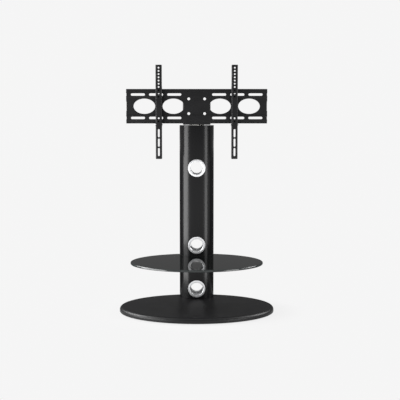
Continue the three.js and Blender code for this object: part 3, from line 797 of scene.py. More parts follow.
class Repeats:
    """The node trees that set copies of one piece out in a row or on points."""

    def __init__(self) -> None:
        """Builds both trees."""
        sizes = {"Count": "NodeSocketInt", "Start": "NodeSocketVector", "Pitch": "NodeSocketVector"}
        self.row = self._tree("copies_in_a_row", sizes)
        self.spread = self._tree("copies_on_points", {})

    @staticmethod
    def _tree(name: str, sizes: dict[str, str]) -> NodeTree:
        """Builds a tree that copies a piece onto points.

        Args:
            name: Name of the tree.
            sizes: Names and socket types of a row's own inputs. Without them the points come in through
                Geometry, each with its turn.

        Returns:
            The tree, which ends in Realize Instances and Set Material.
        """
        tree = bpy.data.node_groups.new(name, "GeometryNodeTree")
        tree.interface.new_socket("Geometry", in_out="OUTPUT", socket_type="NodeSocketGeometry")
        kinds = {"Geometry": "NodeSocketGeometry", "Piece": "NodeSocketObject", **sizes}
        kinds["Finish"] = "NodeSocketMaterial"
        for label, kind in kinds.items():
            tree.interface.new_socket(label, in_out="INPUT", socket_type=kind)
        given = add_node(tree, "NodeGroupInput").outputs
        source = {"Object": given["Piece"]}
        piece = add_node(tree, "GeometryNodeObjectInfo", source, transform_space="ORIGINAL")
        setting: dict[str | int, object] = {"Instance": piece.outputs["Geometry"]}
        if sizes:
            run = {"Count": given["Count"], "Start Location": given["Start"], "Offset": given["Pitch"]}
            setting["Points"] = add_node(tree, "GeometryNodeMeshLine", run, mode="OFFSET").outputs["Mesh"]
        else:
            stored = {"Name": "turn"}
            turn = add_node(tree, "GeometryNodeInputNamedAttribute", stored, data_type="FLOAT_VECTOR")
            euler = add_node(tree, "FunctionNodeEulerToRotation", {0: turn.outputs["Attribute"]})
            setting |= {"Points": given["Geometry"], "Rotation": euler.outputs[0]}
        copies = add_node(tree, "GeometryNodeInstanceOnPoints", setting).outputs["Instances"]
        real = add_node(tree, "GeometryNodeRealizeInstances", {"Geometry": copies}).outputs["Geometry"]
        dressed = add_node(tree, "GeometryNodeSetMaterial", {"Geometry": real, "Material": given["Finish"]})
        add_node(tree, "NodeGroupOutput", {"Geometry": dressed.outputs["Geometry"]})
        return tree

    @staticmethod
    def _run(tree: NodeTree, carrier: Object, piece: Solid, values: dict[str, object]) -> Mesh:
        """Runs a tree on a carrier object.

        Args:
            tree: The tree.
            carrier: The object that carries the points.
            piece: The solid that is copied, used up.
            values: Input values by socket name.

        Returns:
            The copies as one plain mesh.
        """
        template = scratch(piece)
        step = carrier.modifiers.new("copies", "NODES")
        step.node_group = tree
        given = {**values, "Piece": template}
        for socket in tree.interface.items_tree:
            if socket.in_out == "INPUT" and socket.name in given:
                step[socket.identifier] = given[socket.name]
        return settled(carrier, template)

    def in_row(self, piece: Solid, count: int, top: float, pitch: float) -> Mesh:
        """Sets copies out in a row down the middle.

        Args:
            piece: The solid that is copied, used up.
            count: How many copies.
            top: Height of the first.
            pitch: Step down from one to the next.

        Returns:
            The copies as one mesh.
        """
        values = {"Count": count, "Start": (0, 0, top), "Pitch": (0, 0, -pitch)}
        return self._run(self.row, scratch(bmesh.new()), piece, values)

    def on_points(
        self,
        piece: Solid,
        places: Sequence[Sequence[float]],
        turn: Sequence[float] = (0.0, 0.0, 0.0),
        finish: Finish | None = None,
    ) -> Mesh:
        """Sets copies out on points.

        Args:
            piece: The solid that is copied, used up.
            places: Where the copies go.
            turn: Euler turn of every copy.
            finish: The finish that the copies get.

        Returns:
            The copies as one mesh.
        """
        points = bpy.data.meshes.new("points")
        points.from_pydata([tuple(place) for place in places], [], [])
        for item in points.attributes.new("turn", "FLOAT_VECTOR", "POINT").data:
            item.vector = turn
        values = {"Finish": finish.material()} if finish else {}
        return self._run(self.spread, scratch(points), piece, values)


REPEATS = Repeats()


# Publishing


def reach(node: str) -> tuple[Vector, Vector]:
    """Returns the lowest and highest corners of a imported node, in millimetres."""
    low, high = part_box(node)
    return Vector(low) / MM, Vector(high) / MM


def centre_of(node: str) -> Vector:
    """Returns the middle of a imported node's box, in millimetres."""
    low, high = reach(node)
    return (low + high) / 2


def spots(nodes: Sequence[str], z: float = 0.0) -> list[Place]:
    """Returns the middle of each node in plan, at one level."""
    return [(centre_of(node).x, centre_of(node).y, z) for node in nodes]


def heights(nodes: Sequence[str]) -> list[Place]:
    """Returns the height of each node's middle, as a place on the Z axis."""
    return [(0.0, 0.0, centre_of(node).z) for node in nodes]


def numbered(stem: str, count: int) -> list[str]:
    """Returns stem_1 to stem_count."""
    return [f"{stem}_{number}" for number in range(1, count + 1)]


def publish(
    name: str,
    solid: Solid,
    finish: Finish,
    body: Body,
    *nodes: str,
    smooth: float = 34.0,
    second: tuple[Finish, Callable[[Vector, Vector], bool]] | None = None,
) -> None:
    """Turns a solid into a finished piece of the stand.

    Args:
        name: Name of the piece.
        solid: The solid in millimetres, used up.
        finish: Its finish.
        body: The body that it rides on.
        *nodes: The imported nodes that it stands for.
        smooth: Faces that meet at less than this many degrees are shaded as one.
        second: A second finish, and a test of a face's centre and normal for where it goes.
    """
    thing = scratch(solid, name)
    mesh = thing.data
    mesh.transform(Matrix.Scale(MM, 4))
    mesh.materials.clear()
    mesh.materials.append(finish.material())
    mesh.shade_smooth()
    mesh.set_sharp_from_angle(angle=math.radians(smooth))
    if second:
        mesh.materials.append(second[0].material())
        for face in mesh.polygons:
            face.material_index = int(second[1](face.center / MM, face.normal))
    thing.modifiers.new("even_normals", "WEIGHTED_NORMAL").keep_sharp = True
    final = settled(thing)
    final.name = name
    piece = linked(name, final)
    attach(piece, body.value)
    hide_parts(*nodes)
    LOG.info("%s: %d faces, %s, rides on %s", name, len(final.polygons), finish.name, body.value)


@dataclass(frozen=True)
class Screw:
    """A socket screw with a domed head, its underside at zero and its thread below.

    Attributes:
        shank: Radius of the thread.
        head: Radius of the head.
        head_height: Height of the head.
        grip: Length below the head.
        pitch: Distance from one turn of the thread to the next.
        bevel: Width of the broken edge under the head.
        dome_shares: Shares of the head's radius and height that its shoulder passes through.
        key_share: Radius of the hexagon socket, as a share of the head's.
        floor_share: Height of the socket's floor, as a share of the head's.
        root_share: How far the thread reaches up into the head, as a share of its height.
    """

    shank: float
    head: float
    head_height: float
    grip: float
    pitch: float = 1.4
    bevel: float = 0.2
    dome_shares: tuple[Point, ...] = ((1.0, 0.6), (0.93, 0.84), (0.8, 1.0))
    key_share: float = 0.5
    floor_share: float = 0.4
    root_share: float = 0.2

    def solid(self) -> Mesh:
        """Builds the screw along +Z.

        Returns:
            The screw's mesh.
        """
        tall, bevel = self.head_height, self.bevel
        shoulder = [(self.head * across, tall * up) for across, up in self.dome_shares]
        profile = [(0.0, 0.0), (self.head - bevel, 0.0), (self.head, bevel), *shoulder, (0.0, tall)]
        key = circle(self.head * self.key_share, steps=6)
        socket = slab([key], tall * self.floor_share, tall + CLEAR, edge=0.02, steps=1)
        head = cut(turned(profile, 40), socket)
        return combined(head, threaded(self.shank, self.pitch, -self.grip, tall * self.root_share), Join.ADD)

    def set_out(self, name: str, nodes: Sequence[str], facing: Facing, body: Body = Body.STAND) -> None:
        """Publishes one screw for each node, seated as the node is.

        Args:
            name: Name of the piece that holds them all.
            nodes: The nodes that the screws stand for.
            facing: The way the heads face.
            body: The body that they ride on.
        """
        toward, turn = facing.value
        axis = next(index for index in range(3) if toward[index])
        places = []
        for node in nodes:
            low, high = reach(node)
            place = centre_of(node)
            place[axis] = high[axis] - self.head_height if toward[axis] > 0 else low[axis] + self.head_height
            places.append(place)
        publish(name, REPEATS.on_points(self.solid(), places, turn, ZINC), ZINC, body, *nodes)


# Sub-assemblies

PIVOT_HOLE = 6.2  # Radius of the pivot bolt's hole, the same in every piece that it passes through.
BRACKET_HOLE = 3.2  # Radius of the holes for the shelf bracket's screws, in the bracket and the column.
BOLT_HOLE = 6.35  # Radius of the bolt holes that the neck and the mounting plate share.
BOLT_X, BOLT_Z = 36.2, 33.5  # How far those lie from the mounting plate's middle.


@dataclass
class ColumnSection:
    """The section of the extruded column: a flattened curved front, straight flanks and a flat back.

    Attributes:
        width: Width over the flanks.
        front_depth: Depth of the curved front.
        exponent: Exponent of the front's curve, which is an ellipse at 2 and squarer above.
        back_radius: Radius of the corners at the back.
        front_steps: Edges along the front.
        back_steps: Edges in each corner at the back.
        notch_run: How far behind the column the shelf's notch is drawn.
    """

    width: float = 160.0
    front_depth: float = 65.0
    exponent: float = 2.6
    back_radius: float = 8.0
    front_steps: int = 120
    back_steps: int = 8
    notch_run: float = 200.0

    def __post_init__(self) -> None:
        """Reads where the column stands."""
        low, high = reach("column")
        self.front, self.back, self.low, self.high = low.y, high.y, low.z, high.z
        self.pivot_y = (self.front + self.back) / 2

    def outline(self, grow: float = 0.0) -> Outline:
        """Draws the section.

        Args:
            grow: How far it is grown outwards; a negative value gives the inner wall.

        Returns:
            The closed outline, seen from above.
        """
        power = 2 / self.exponent
        half, depth, corner = self.width / 2 + grow, self.front_depth + grow, self.back_radius + grow
        points: Outline = []
        for step in range(self.front_steps + 1):
            turn = math.pi * step / self.front_steps
            across = math.copysign(abs(math.cos(turn)) ** power, math.cos(turn))
            ahead = depth * abs(math.sin(turn)) ** power
            points.append((-half * across, self.front + self.front_depth - ahead))
        for side, start in ((1, 0.0), (-1, QUARTER)):
            for step in range(self.back_steps + 1):
                turn = start + QUARTER * step / self.back_steps
                x = side * (half - corner) + corner * math.cos(turn)
                points.append((x, self.back + grow - corner + corner * math.sin(turn)))
        return points

    def open_back(self, grow: float) -> Outline:
        """Returns the section with its flanks run on far behind the column, as the shelf's notch needs."""
        half, far = self.width / 2 + grow, self.back + self.notch_run
        return [*self.outline(grow)[:self.front_steps + 1], (half, far), (-half, far)]

    def block(self, grow: float, low: float, high: float) -> BMesh:
        """Returns a tool of the section that stands past two levels."""
        return slab([self.outline(grow)], low - CLEAR, high + CLEAR, HAIR)


@dataclass
class OvalBase:
    """The lacquered base board with its steel plate, column screws and feet."""

    top_edge: float = 13.5
    bottom_edge: float = 2.0
    pocket_gap: float = 0.3
    pocket_radius: float = 12.3
    hole: float = 4.4
    foot_recess: float = 0.6
    foot_bevel: float = 1.0
    foot_edge: float = 0.5
    foot_ring_shares: tuple[float, float] = (0.45, 0.55)
    screw: Screw = Screw(3.9, 7.0, 4.0, 34.0)

    def build(self) -> None:
        """Builds the board, the plate, the screws and the feet."""
        low, high = reach("base_plate")
        plate_low, plate_high = reach("base_steel_plate")
        size, plate_size, plate_y = high - low, plate_high - plate_low, centre_of("base_steel_plate").y
        nodes, gap = numbered("base_screw", 4), self.pocket_gap
        oval = ellipse(size.x, size.y, steps=240)
        board = slab([oval], low.z, high.z, self.bottom_edge, self.top_edge, 10)
        rim = box_outline(plate_size.x + 2 * gap, plate_size.y + 2 * gap, self.pocket_radius, plate_y)
        pocket = slab([rim], low.z - CLEAR, plate_high.z + gap)
        bores = REPEATS.on_points(peg(self.hole, low.z - CLEAR, high.z + CLEAR), spots(nodes))
        publish("base_board", cut(board, pocket, bores), LACQUER, Body.STAND, "base_plate")
        loops = [box_outline(plate_size.x, plate_size.y, self.pocket_radius - gap, plate_y)]
        loops += [circle(self.hole, x, y, 32) for x, y, _ in spots(nodes)]
        plate = slab(loops, plate_low.z, plate_high.z)
        publish("underside_steel_plate", plate, POWDER, Body.STAND, "base_steel_plate")
        self.screw.set_out("column_screws", nodes, Facing.DOWN)
        self._feet(numbered("foot", 8))

    def _feet(self, nodes: Sequence[str]) -> None:
        """Builds the rubber feet, each with a shallow recess under it.

        Args:
            nodes: The nodes that they stand for.
        """
        low, high = reach(nodes[0])
        radius, height, sole, bevel = (high.x - low.x) / 2, high.z - low.z, self.foot_recess, self.foot_bevel
        inner, outer = (radius * share for share in self.foot_ring_shares)
        tread = [(0, sole), (inner, sole), (outer, 0), (radius - bevel, 0), (radius, bevel)]
        side = rounded([*tread, (radius, height)], self.foot_edge, 3, closed=False)
        foot = turned([*side, (0, height)])
        publish("feet", REPEATS.on_points(foot, spots(nodes), finish=RUBBER), RUBBER, Body.STAND, *nodes)


@dataclass
class Column:
    """The extruded column with its screw ports and cable holes, and the cap inside its top."""

    section: ColumnSection
    wall: float = 3.0
    edge: float = 0.3
    end_gap: float = 0.4
    port: float = 8.0
    port_bore: float = 4.2
    cable_hole: float = 33.3
    cap_gap: float = 0.3
    cap_edge: float = 0.25
    cap_hole: float = 4.2
    cap_sink: float = 5.8
    cap_sink_depth: float = 3.3
    cap_screw: Screw = Screw(3.9, 5.5, 3.0, 22.0)

    def build(self) -> None:
        """Builds the extrusion, the cap and the cap's screws."""
        section = self.section
        low, high = section.low, section.high
        places = spots(numbered("cap_screw", 4))
        tube = slab([section.outline(), section.outline(-self.wall)], low, high, self.edge)
        port = peg(self.port, low + self.end_gap, reach("column_cap")[0].z - self.cap_gap, 48)
        inside = section.block(-self.wall / 2, low, high)
        ports = combined(REPEATS.on_points(port, places), inside, Join.KEEP)
        rings = [f"front_grommet_{level}" for level in Grommets.LEVELS]
        bracket_drill = drill(BRACKET_HOLE, section.front, section.front + self.wall)
        extrusion = cut(
            combined(tube, ports, Join.ADD),
            REPEATS.on_points(peg(self.port_bore, low - CLEAR, high + CLEAR), places),
            REPEATS.on_points(drill(self.cable_hole, section.front, section.back, 96), heights(rings)),
            REPEATS.on_points(bracket_drill, heights(numbered("shelf_bracket_screw", 2))),
        )
        publish("column_extrusion", extrusion, ENAMEL, Body.STAND, "column", smooth=30)
        self._cap(places)

    def _cap(self, places: Sequence[Place]) -> None:
        """Builds the cap and its screws.

        Args:
            places: Places of the screws.
        """
        low, high = (corner.z for corner in reach("column_cap"))
        holes = [circle(self.cap_hole, x, y, 32) for x, y, _ in places]
        holes.append(circle(PIVOT_HOLE, 0, self.section.pivot_y, 40))
        cap = slab([self.section.outline(-self.wall - self.cap_gap), *holes], low, high, self.cap_edge)
        sinks = REPEATS.on_points(peg(self.cap_sink, high - self.cap_sink_depth, high + CLEAR, 40), places)
        publish("top_cap", cut(cap, sinks), POWDER, Body.STAND, "column_cap")
        self.cap_screw.set_out("cap_screws", numbered("cap_screw", 4), Facing.UP)


@dataclass
class Grommets:
    """The chrome rings that line the cable holes in the front and the back of the column."""

    LEVELS = ("upper", "middle", "lower")

    section: ColumnSection
    flange: float = 40.0
    bore: float = 30.0
    sleeve: float = 33.0
    proud: float = 2.4
    edge: float = 2.2
    crown: float = 6.5
    slopes: tuple[float, float] = (8.0, 3.0)
    blank_depth: float = 16.0
    sleeve_front: float = 35.0
    sleeve_rear: float = 28.0
    gap: float = 0.3
    steps: int = 128

    def build(self) -> None:
        """Builds three rings for each face."""
        for level in self.LEVELS:
            z = centre_of(f"front_grommet_{level}").z
            for side, ring in (("front", self._front(z)), ("rear", self._rear(z))):
                publish(f"cable_ring_{side}_{level}", ring, CHROME, Body.STAND, f"{side}_grommet_{level}")

    def _turned(self, profile: Sequence[Point], way: int, z: float) -> BMesh:
        """Turns a ring whose +Z faces the front or the back of the column.

        Args:
            profile: Its closed profile, as radius and distance out from the column.
            way: 1 for the front, -1 for the back.
            z: Height of its middle.

        Returns:
            The ring.
        """
        ring = turned(profile, self.steps)
        ring.transform(Matrix.Rotation(way * QUARTER, 4, "X"))
        return moved(ring, y=self.section.front if way > 0 else self.section.back, z=z)

    def _front(self, z: float) -> Mesh:
        """Builds a ring that sits saddle fashion on the curved face.

        Args:
            z: Height of its middle.

        Returns:
            The ring's mesh.
        """
        deep, top, seat = -self.blank_depth, self.proud, self.proud - self.edge
        lip = [(self.flange - self.crown, top), (self.bore, top), (self.bore, deep)]
        face = [(self.flange, deep), *self._crowned(), *rounded(lip, self.edge, 8, closed=False)]
        blank = self._turned(face, 1, z)
        saddle = cut(blank, self.section.block(self.gap, z - self.flange, z + self.flange))
        end = -self.sleeve_front
        sleeve = [(self.bore, end), (self.sleeve, end), (self.sleeve, seat), (self.bore, seat)]
        return combined(saddle, self._turned(sleeve, 1, z), Join.ADD)

    def _crowned(self, steps: int = 12) -> Outline:
        """Draws the crowned part of a front ring's face, from its rim inwards.

        Args:
            steps: Edges along the crown.

        Returns:
            The radius and the height of each point but the innermost.
        """
        outer, inner = (math.radians(slope) for slope in self.slopes)
        bend = self.crown / (math.sin(outer) - math.sin(inner))
        slopes = [outer + (inner - outer) * step / steps for step in range(steps)]
        rim, top = self.flange - bend * math.sin(outer), self.proud - bend * math.cos(inner)
        return [(rim + bend * math.sin(slope), top + bend * math.cos(slope)) for slope in slopes]

    def _rear(self, z: float) -> BMesh:
        """Builds a ring that lies flat on the back.

        Args:
            z: Height of its middle.

        Returns:
            The ring.
        """
        end, top, seat = -self.sleeve_rear, self.proud, self.gap
        face = [(self.bore, end), (self.bore, top), (self.flange, top), (self.flange, seat)]
        profile = [*rounded(face, self.edge, 8, closed=False), (self.sleeve, seat), (self.sleeve, end)]
        return self._turned(profile, -1, z)


@dataclass
class Swivel:
    """The bush that the head turns on, and the bolt, washers and nut that hold it."""

    bolt: float = 5.9
    pitch: float = 1.75
    bush_edge: float = 0.8
    washer_edge: float = 0.3
    nut_chamfer: float = 0.6
    nut_flare: float = 1.0
    hexagon_edge: float = 0.15
    hexagon_chamfer: float = 0.9
    hexagon_flat_share: float = 0.9
    seat_gap: float = 0.3
    root: float = 1.0

    def build(self) -> None:
        """Builds the bush, the washers, the bolt and the nut."""
        self._ring("turning_bush", "swivel_bush", NYLON, self.bush_edge)
        self._ring("pivot_washer_top", "pivot_washer_upper", ZINC, self.washer_edge)
        self._ring("pivot_washer_under", "pivot_washer_lower", ZINC, self.washer_edge)
        low, high = reach("pivot_nut")
        start = low.z - self.nut_flare
        half = [(0, start), (PIVOT_HOLE + self.nut_flare, start), (PIVOT_HOLE, low.z + self.nut_chamfer)]
        hole = turned([*half, *((x, low.z + high.z - z) for x, z in reversed(half))], 40)
        nut = cut(self._hexagon(low.z, high.z, (high.x - low.x) / 2), hole)
        publish("locking_nut", moved(nut, y=centre_of("pivot_nut").y), ZINC, Body.STAND, "pivot_nut")
        low, high = reach("pivot_bolt")
        seat = reach("pivot_washer_upper")[1].z + self.seat_gap
        head = self._hexagon(seat, high.z, (high.x - low.x) / 2)
        bolt = combined(head, threaded(self.bolt, self.pitch, low.z, seat + self.root, 32), Join.ADD)
        publish("pivot_bolt_m12", moved(bolt, y=centre_of("pivot_nut").y), ZINC, Body.STAND, "pivot_bolt")

    def _ring(self, name: str, node: str, finish: Finish, edge: float) -> None:
        """Publishes a flat ring round the pivot.

        Args:
            name: Name of the piece.
            node: The node that it stands for.
            finish: Its finish.
            edge: Radius of its rims.
        """
        low, high = reach(node)
        outer, thick = (high.x - low.x) / 2, high.z - low.z
        corners = [(PIVOT_HOLE, 0), (outer, 0), (outer, thick), (PIVOT_HOLE, thick)]
        ring = moved(turned(rounded(corners, edge, 4), 96), y=centre_of(node).y, z=low.z)
        publish(name, ring, finish, Body.STAND, node)

    def _hexagon(self, low: float, high: float, radius: float) -> Mesh:
        """Builds a hexagon about the Z axis whose corners are turned off at both ends.

        Args:
            low: Its underside.
            high: Its top.
            radius: Radius to its corners.

        Returns:
            The mesh.
        """
        flat, free, past = radius * self.hexagon_flat_share, radius + HAIR, HAIR / 10
        half = [(0, low - past), (flat, low - past), (free, low + self.hexagon_chamfer)]
        lathe = turned([*half, *((x, low + high - z) for x, z in reversed(half))], 64)
        prism = slab([circle(radius, steps=6)], low, high, self.hexagon_edge)
        return combined(prism, lathe, Join.KEEP)


@dataclass
class NeckBracket:
    """The folded steel bracket between the swivel and the plate."""

    section: ColumnSection
    thickness: float = 4.0
    bend: float = 6.0
    edge: float = 0.7
    corner: float = 5.0
    top_radius: float = 10.0
    top_chamfer: tuple[float, float] = (8.0, 6.0)
    flange_depth: float = 84.0
    flange_chamfer: float = 12.0
    relief: float = 1.5
    cheek_top: float = 14.0
    cheek_bottom: float = 70.0
    cheek_foot: float = 16.0
    slack: float = 0.3

    def build(self) -> None:
        """Builds the bracket from one flat blank with three folds."""
        low, high = reach("neck_bracket")
        front, back, centre_z = low.y, low.y + self.thickness, centre_of("wall_plate").z
        side_fold = Fold(high.x - self.bend, self.bend, front)
        floor_fold = Fold(centre_z - low.z - self.bend, self.bend, front)
        shoulder, foot = high.z - self.top_radius, low.z + self.slack
        relief = high.x - self.bend - self.relief
        wide, narrow = side_fold.depth_to_run(self.cheek_bottom), side_fold.depth_to_run(self.cheek_top)
        flap = centre_z - floor_fold.depth_to_run(self.flange_depth)
        corners = [
            (0, flap),
            (relief - self.flange_chamfer, flap),
            (relief, flap + self.flange_chamfer),
            (relief, foot),
            (wide, foot),
            (wide, low.z + self.cheek_foot),
            (narrow, shoulder - self.top_chamfer[1]),
            (narrow - self.top_chamfer[0], shoulder),
            (high.x - self.bend, high.z),
            (0, high.z),
        ]
        right = rounded(corners, self.corner, 6, closed=False)[1:-1]
        blank = laid(slab([doubled(right)], front, back, self.edge))
        bolts = REPEATS.on_points(
            drill(BOLT_HOLE, front, back, 48),
            [(side * BOLT_X, 0, centre_z + row * BOLT_Z) for side in (-1, 1) for row in (-1, 1)],
        )
        sheet = opened(cut(blank, bolts))
        side_fold.apply(sheet, 0, 0.0, (-1, 1))
        floor_fold.apply(sheet, 2, centre_z, (-1,), limit=relief + HAIR)
        hole = peg(PIVOT_HOLE, low.z - CLEAR, low.z + self.thickness + CLEAR, 40)
        bracket = cut(sheet, moved(hole, y=self.section.pivot_y))
        publish("folded_neck", bracket, POWDER, Body.HEAD, "neck_bracket", smooth=40)


@dataclass
class MountingPlate:
    """The pressed steel plate with two proud bands, rows of slots and oval windows."""

    thickness: float = 2.5
    step: float = 3.0
    band_inner: float = 41.0
    band_outer: float = 65.0
    press_radius: float = 3.0
    corner: float = 1.2
    slot: tuple[float, float] = (64.0, 11.0)
    slot_row: float = 53.0
    slots: tuple[float, ...] = (101.9, 184.6, 267.3)
    window: tuple[float, float] = (98.4, 69.0)
    windows: tuple[float, ...] = (106.0, 238.2)
    notch: float = 1.4
    notch_band: float = 14.0
    notch_middle: float = 44.0
    edge: float = 0.45

    def build(self) -> None:
        """Builds the plate: a flat blank is punched, then pressed."""
        low, high = reach("wall_plate")
        centre_z, half_height, front = (low.z + high.z) / 2, (high.z - low.z) / 2, low.y
        outline = self._outline(high.x, half_height, centre_z)
        sheet = laid(slab([outline], front, front + self.thickness, self.edge))
        slot = box_outline(*self.slot, min(self.slot) / 2, steps=10)
        for hole, across, rows in (
            (slot, self.slots, (-self.slot_row, self.slot_row)),
            (ellipse(*self.window, steps=120), self.windows, (0.0,)),
            (circle(BOLT_HOLE, steps=48), (BOLT_X,), (-BOLT_Z, BOLT_Z)),
        ):
            places = [(side * x, 0, centre_z + row) for side in (-1, 1) for x in across for row in rows]
            sheet = cut(sheet, REPEATS.on_points(punch(hole, front, self.thickness, self.edge), places))
        pressed = opened(sheet)
        profile = rounded([
            (0, self.step),
            (self.band_inner - self.step, self.step),
            (self.band_inner, 0),
            (self.band_outer, 0),
            (self.band_outer + self.step, self.step),
            (half_height + self.step, self.step),
        ], self.press_radius, 6, closed=False)
        sliced(pressed, 2, [centre_z + side * place for side in (-1, 1) for place, _ in profile[1:-1]])
        for vertex in pressed.verts:
            vertex.co.y += self._press(profile, abs(vertex.co.z - centre_z))
        publish("pressed_mounting_plate", pressed, POWDER, Body.HEAD, "wall_plate", smooth=40)

    def _outline(self, half_width: float, half_height: float, centre_z: float) -> Outline:
        """Draws the plate's outline with the shallow notches in its ends.

        Args:
            half_width: Half the plate's width.
            half_height: Half its height.
            centre_z: Height of its middle.

        Returns:
            The closed outline.
        """
        right: Outline = [(half_width, -half_height)]
        deep = half_width - self.notch
        bands = ((-self.slot_row, self.notch_band), (0, self.notch_middle), (self.slot_row, self.notch_band))
        for z, height in bands:
            half, inner = height / 2, (height - self.notch) / 2
            right += [(half_width, z - half), (deep, z - inner), (deep, z + inner), (half_width, z + half)]
        right.append((half_width, half_height))
        return rounded([(x, centre_z + z) for x, z in doubled(right)], self.corner, 3)

    @staticmethod
    def _press(profile: Outline, away: float) -> float:
        """Finds how far the press pushes the sheet back.

        Args:
            profile: The pressed section, as distance from the middle and depth.
            away: Distance from the plate's middle.

        Returns:
            The depth there.
        """
        for (start, first), (end, second) in zip(profile, profile[1:]):
            if away <= end:
                share = (away - start) / (end - start) if end > start else 0.0
                return first + (second - first) * share
        return profile[-1][1]


@dataclass
class HookArms:
    """The two folded channels that hook over the plate, each with its lock screw."""

    thickness: float = 2.5
    bend: float = 4.0
    corner: float = 2.2
    end_radius: float = 4.0
    edge: float = 0.4
    hole: float = 3.85
    hole_pitch: float = 14.4
    upper_top: float = 13.3
    upper_count: int = 10
    lower_top: float = 240.7
    lower_count: int = 2
    slot_length: float = 36.8
    slot_width: float = 8.4
    slot_pitch: float = 42.9
    slot_top: float = 308.5
    slot_count: int = 3
    hook_slack: float = 0.8
    hook_reach: float = 5.0
    hook_roof: float = 9.0
    hook_drop: float = 9.0
    ear_height: float = 11.0
    lock_drop: float = 5.0
    lock_hole: float = 3.2
    lock_screw: Screw = Screw(2.9, 5.0, 3.0, 31.4, 0.9)

    def build(self) -> None:
        """Builds both arms and their screws."""
        for label, body, facing in (("left", Body.LEFT, Facing.LEFT), ("right", Body.RIGHT, Facing.RIGHT)):
            publish(f"{label}_hook_arm", self._arm(f"{label}_arm"), POWDER, body, f"{label}_arm", smooth=40)
            self.lock_screw.set_out(f"{label}_locking_screw", [f"{label}_lock_screw"], facing, body)

    def _arm(self, node: str) -> Mesh:
        """Builds one arm where its node stands.

        Args:
            node: The node that it stands for.

        Returns:
            The arm's mesh.
        """
        low, high = reach(node)
        plate_low, plate_high = reach("wall_plate")
        half, front, top, bottom = (high.x - low.x) / 2, low.y, high.z, low.z
        fold = Fold(half - self.bend, self.bend, front)
        back, lip = plate_low.y - self.hook_slack - front, plate_high.y + self.hook_slack - front
        roof, ear = plate_high.z + self.hook_slack, plate_low.z - self.hook_slack
        hook = lip + self.hook_reach
        wall = [
            (back, bottom + self.end_radius),
            (back, ear - self.ear_height - self.end_radius),
            (hook, ear - self.ear_height),
            (hook, ear),
            (back, ear),
            (back, roof),
            (lip, roof),
            (lip, roof - self.hook_drop),
            (hook, roof - self.hook_drop),
            (hook, roof + self.hook_roof),
            (back, roof + self.hook_roof + self.end_radius),
            (back, top - self.end_radius),
        ]
        shoulder = fold.start + self.bend / 2
        flap = [(fold.depth_to_run(depth), z) for depth, z in wall]
        corners = [(0.0, bottom), (shoulder, bottom), *flap, (shoulder, top), (0.0, top)]
        side = rounded(corners, self.corner, 5, closed=False)[1:-1]
        slot = box_outline(self.slot_width, self.slot_length, self.slot_width / 2, steps=10)
        sheet = laid(slab([doubled(side)], front, front + self.thickness, self.edge))
        for outline, count, start, pitch in (
            (circle(self.hole, steps=40), self.upper_count, self.upper_top, self.hole_pitch),
            (circle(self.hole, steps=40), self.lower_count, self.lower_top, self.hole_pitch),
            (slot, self.slot_count, self.slot_top, self.slot_pitch),
        ):
            tool = punch(outline, front, self.thickness, self.edge)
            sheet = cut(sheet, REPEATS.in_row(tool, count, top - start, pitch))
        folded = opened(sheet)
        fold.apply(folded, 0, 0.0, (-1, 1))
        bore = circle(self.lock_hole, front + hook - self.lock_drop, ear - self.lock_drop, 32)
        bored = cut(folded, laid(slab([bore], -half - CLEAR, half + CLEAR, HAIR), View.SIDE))
        return moved(bored, x=centre_of(node).x)


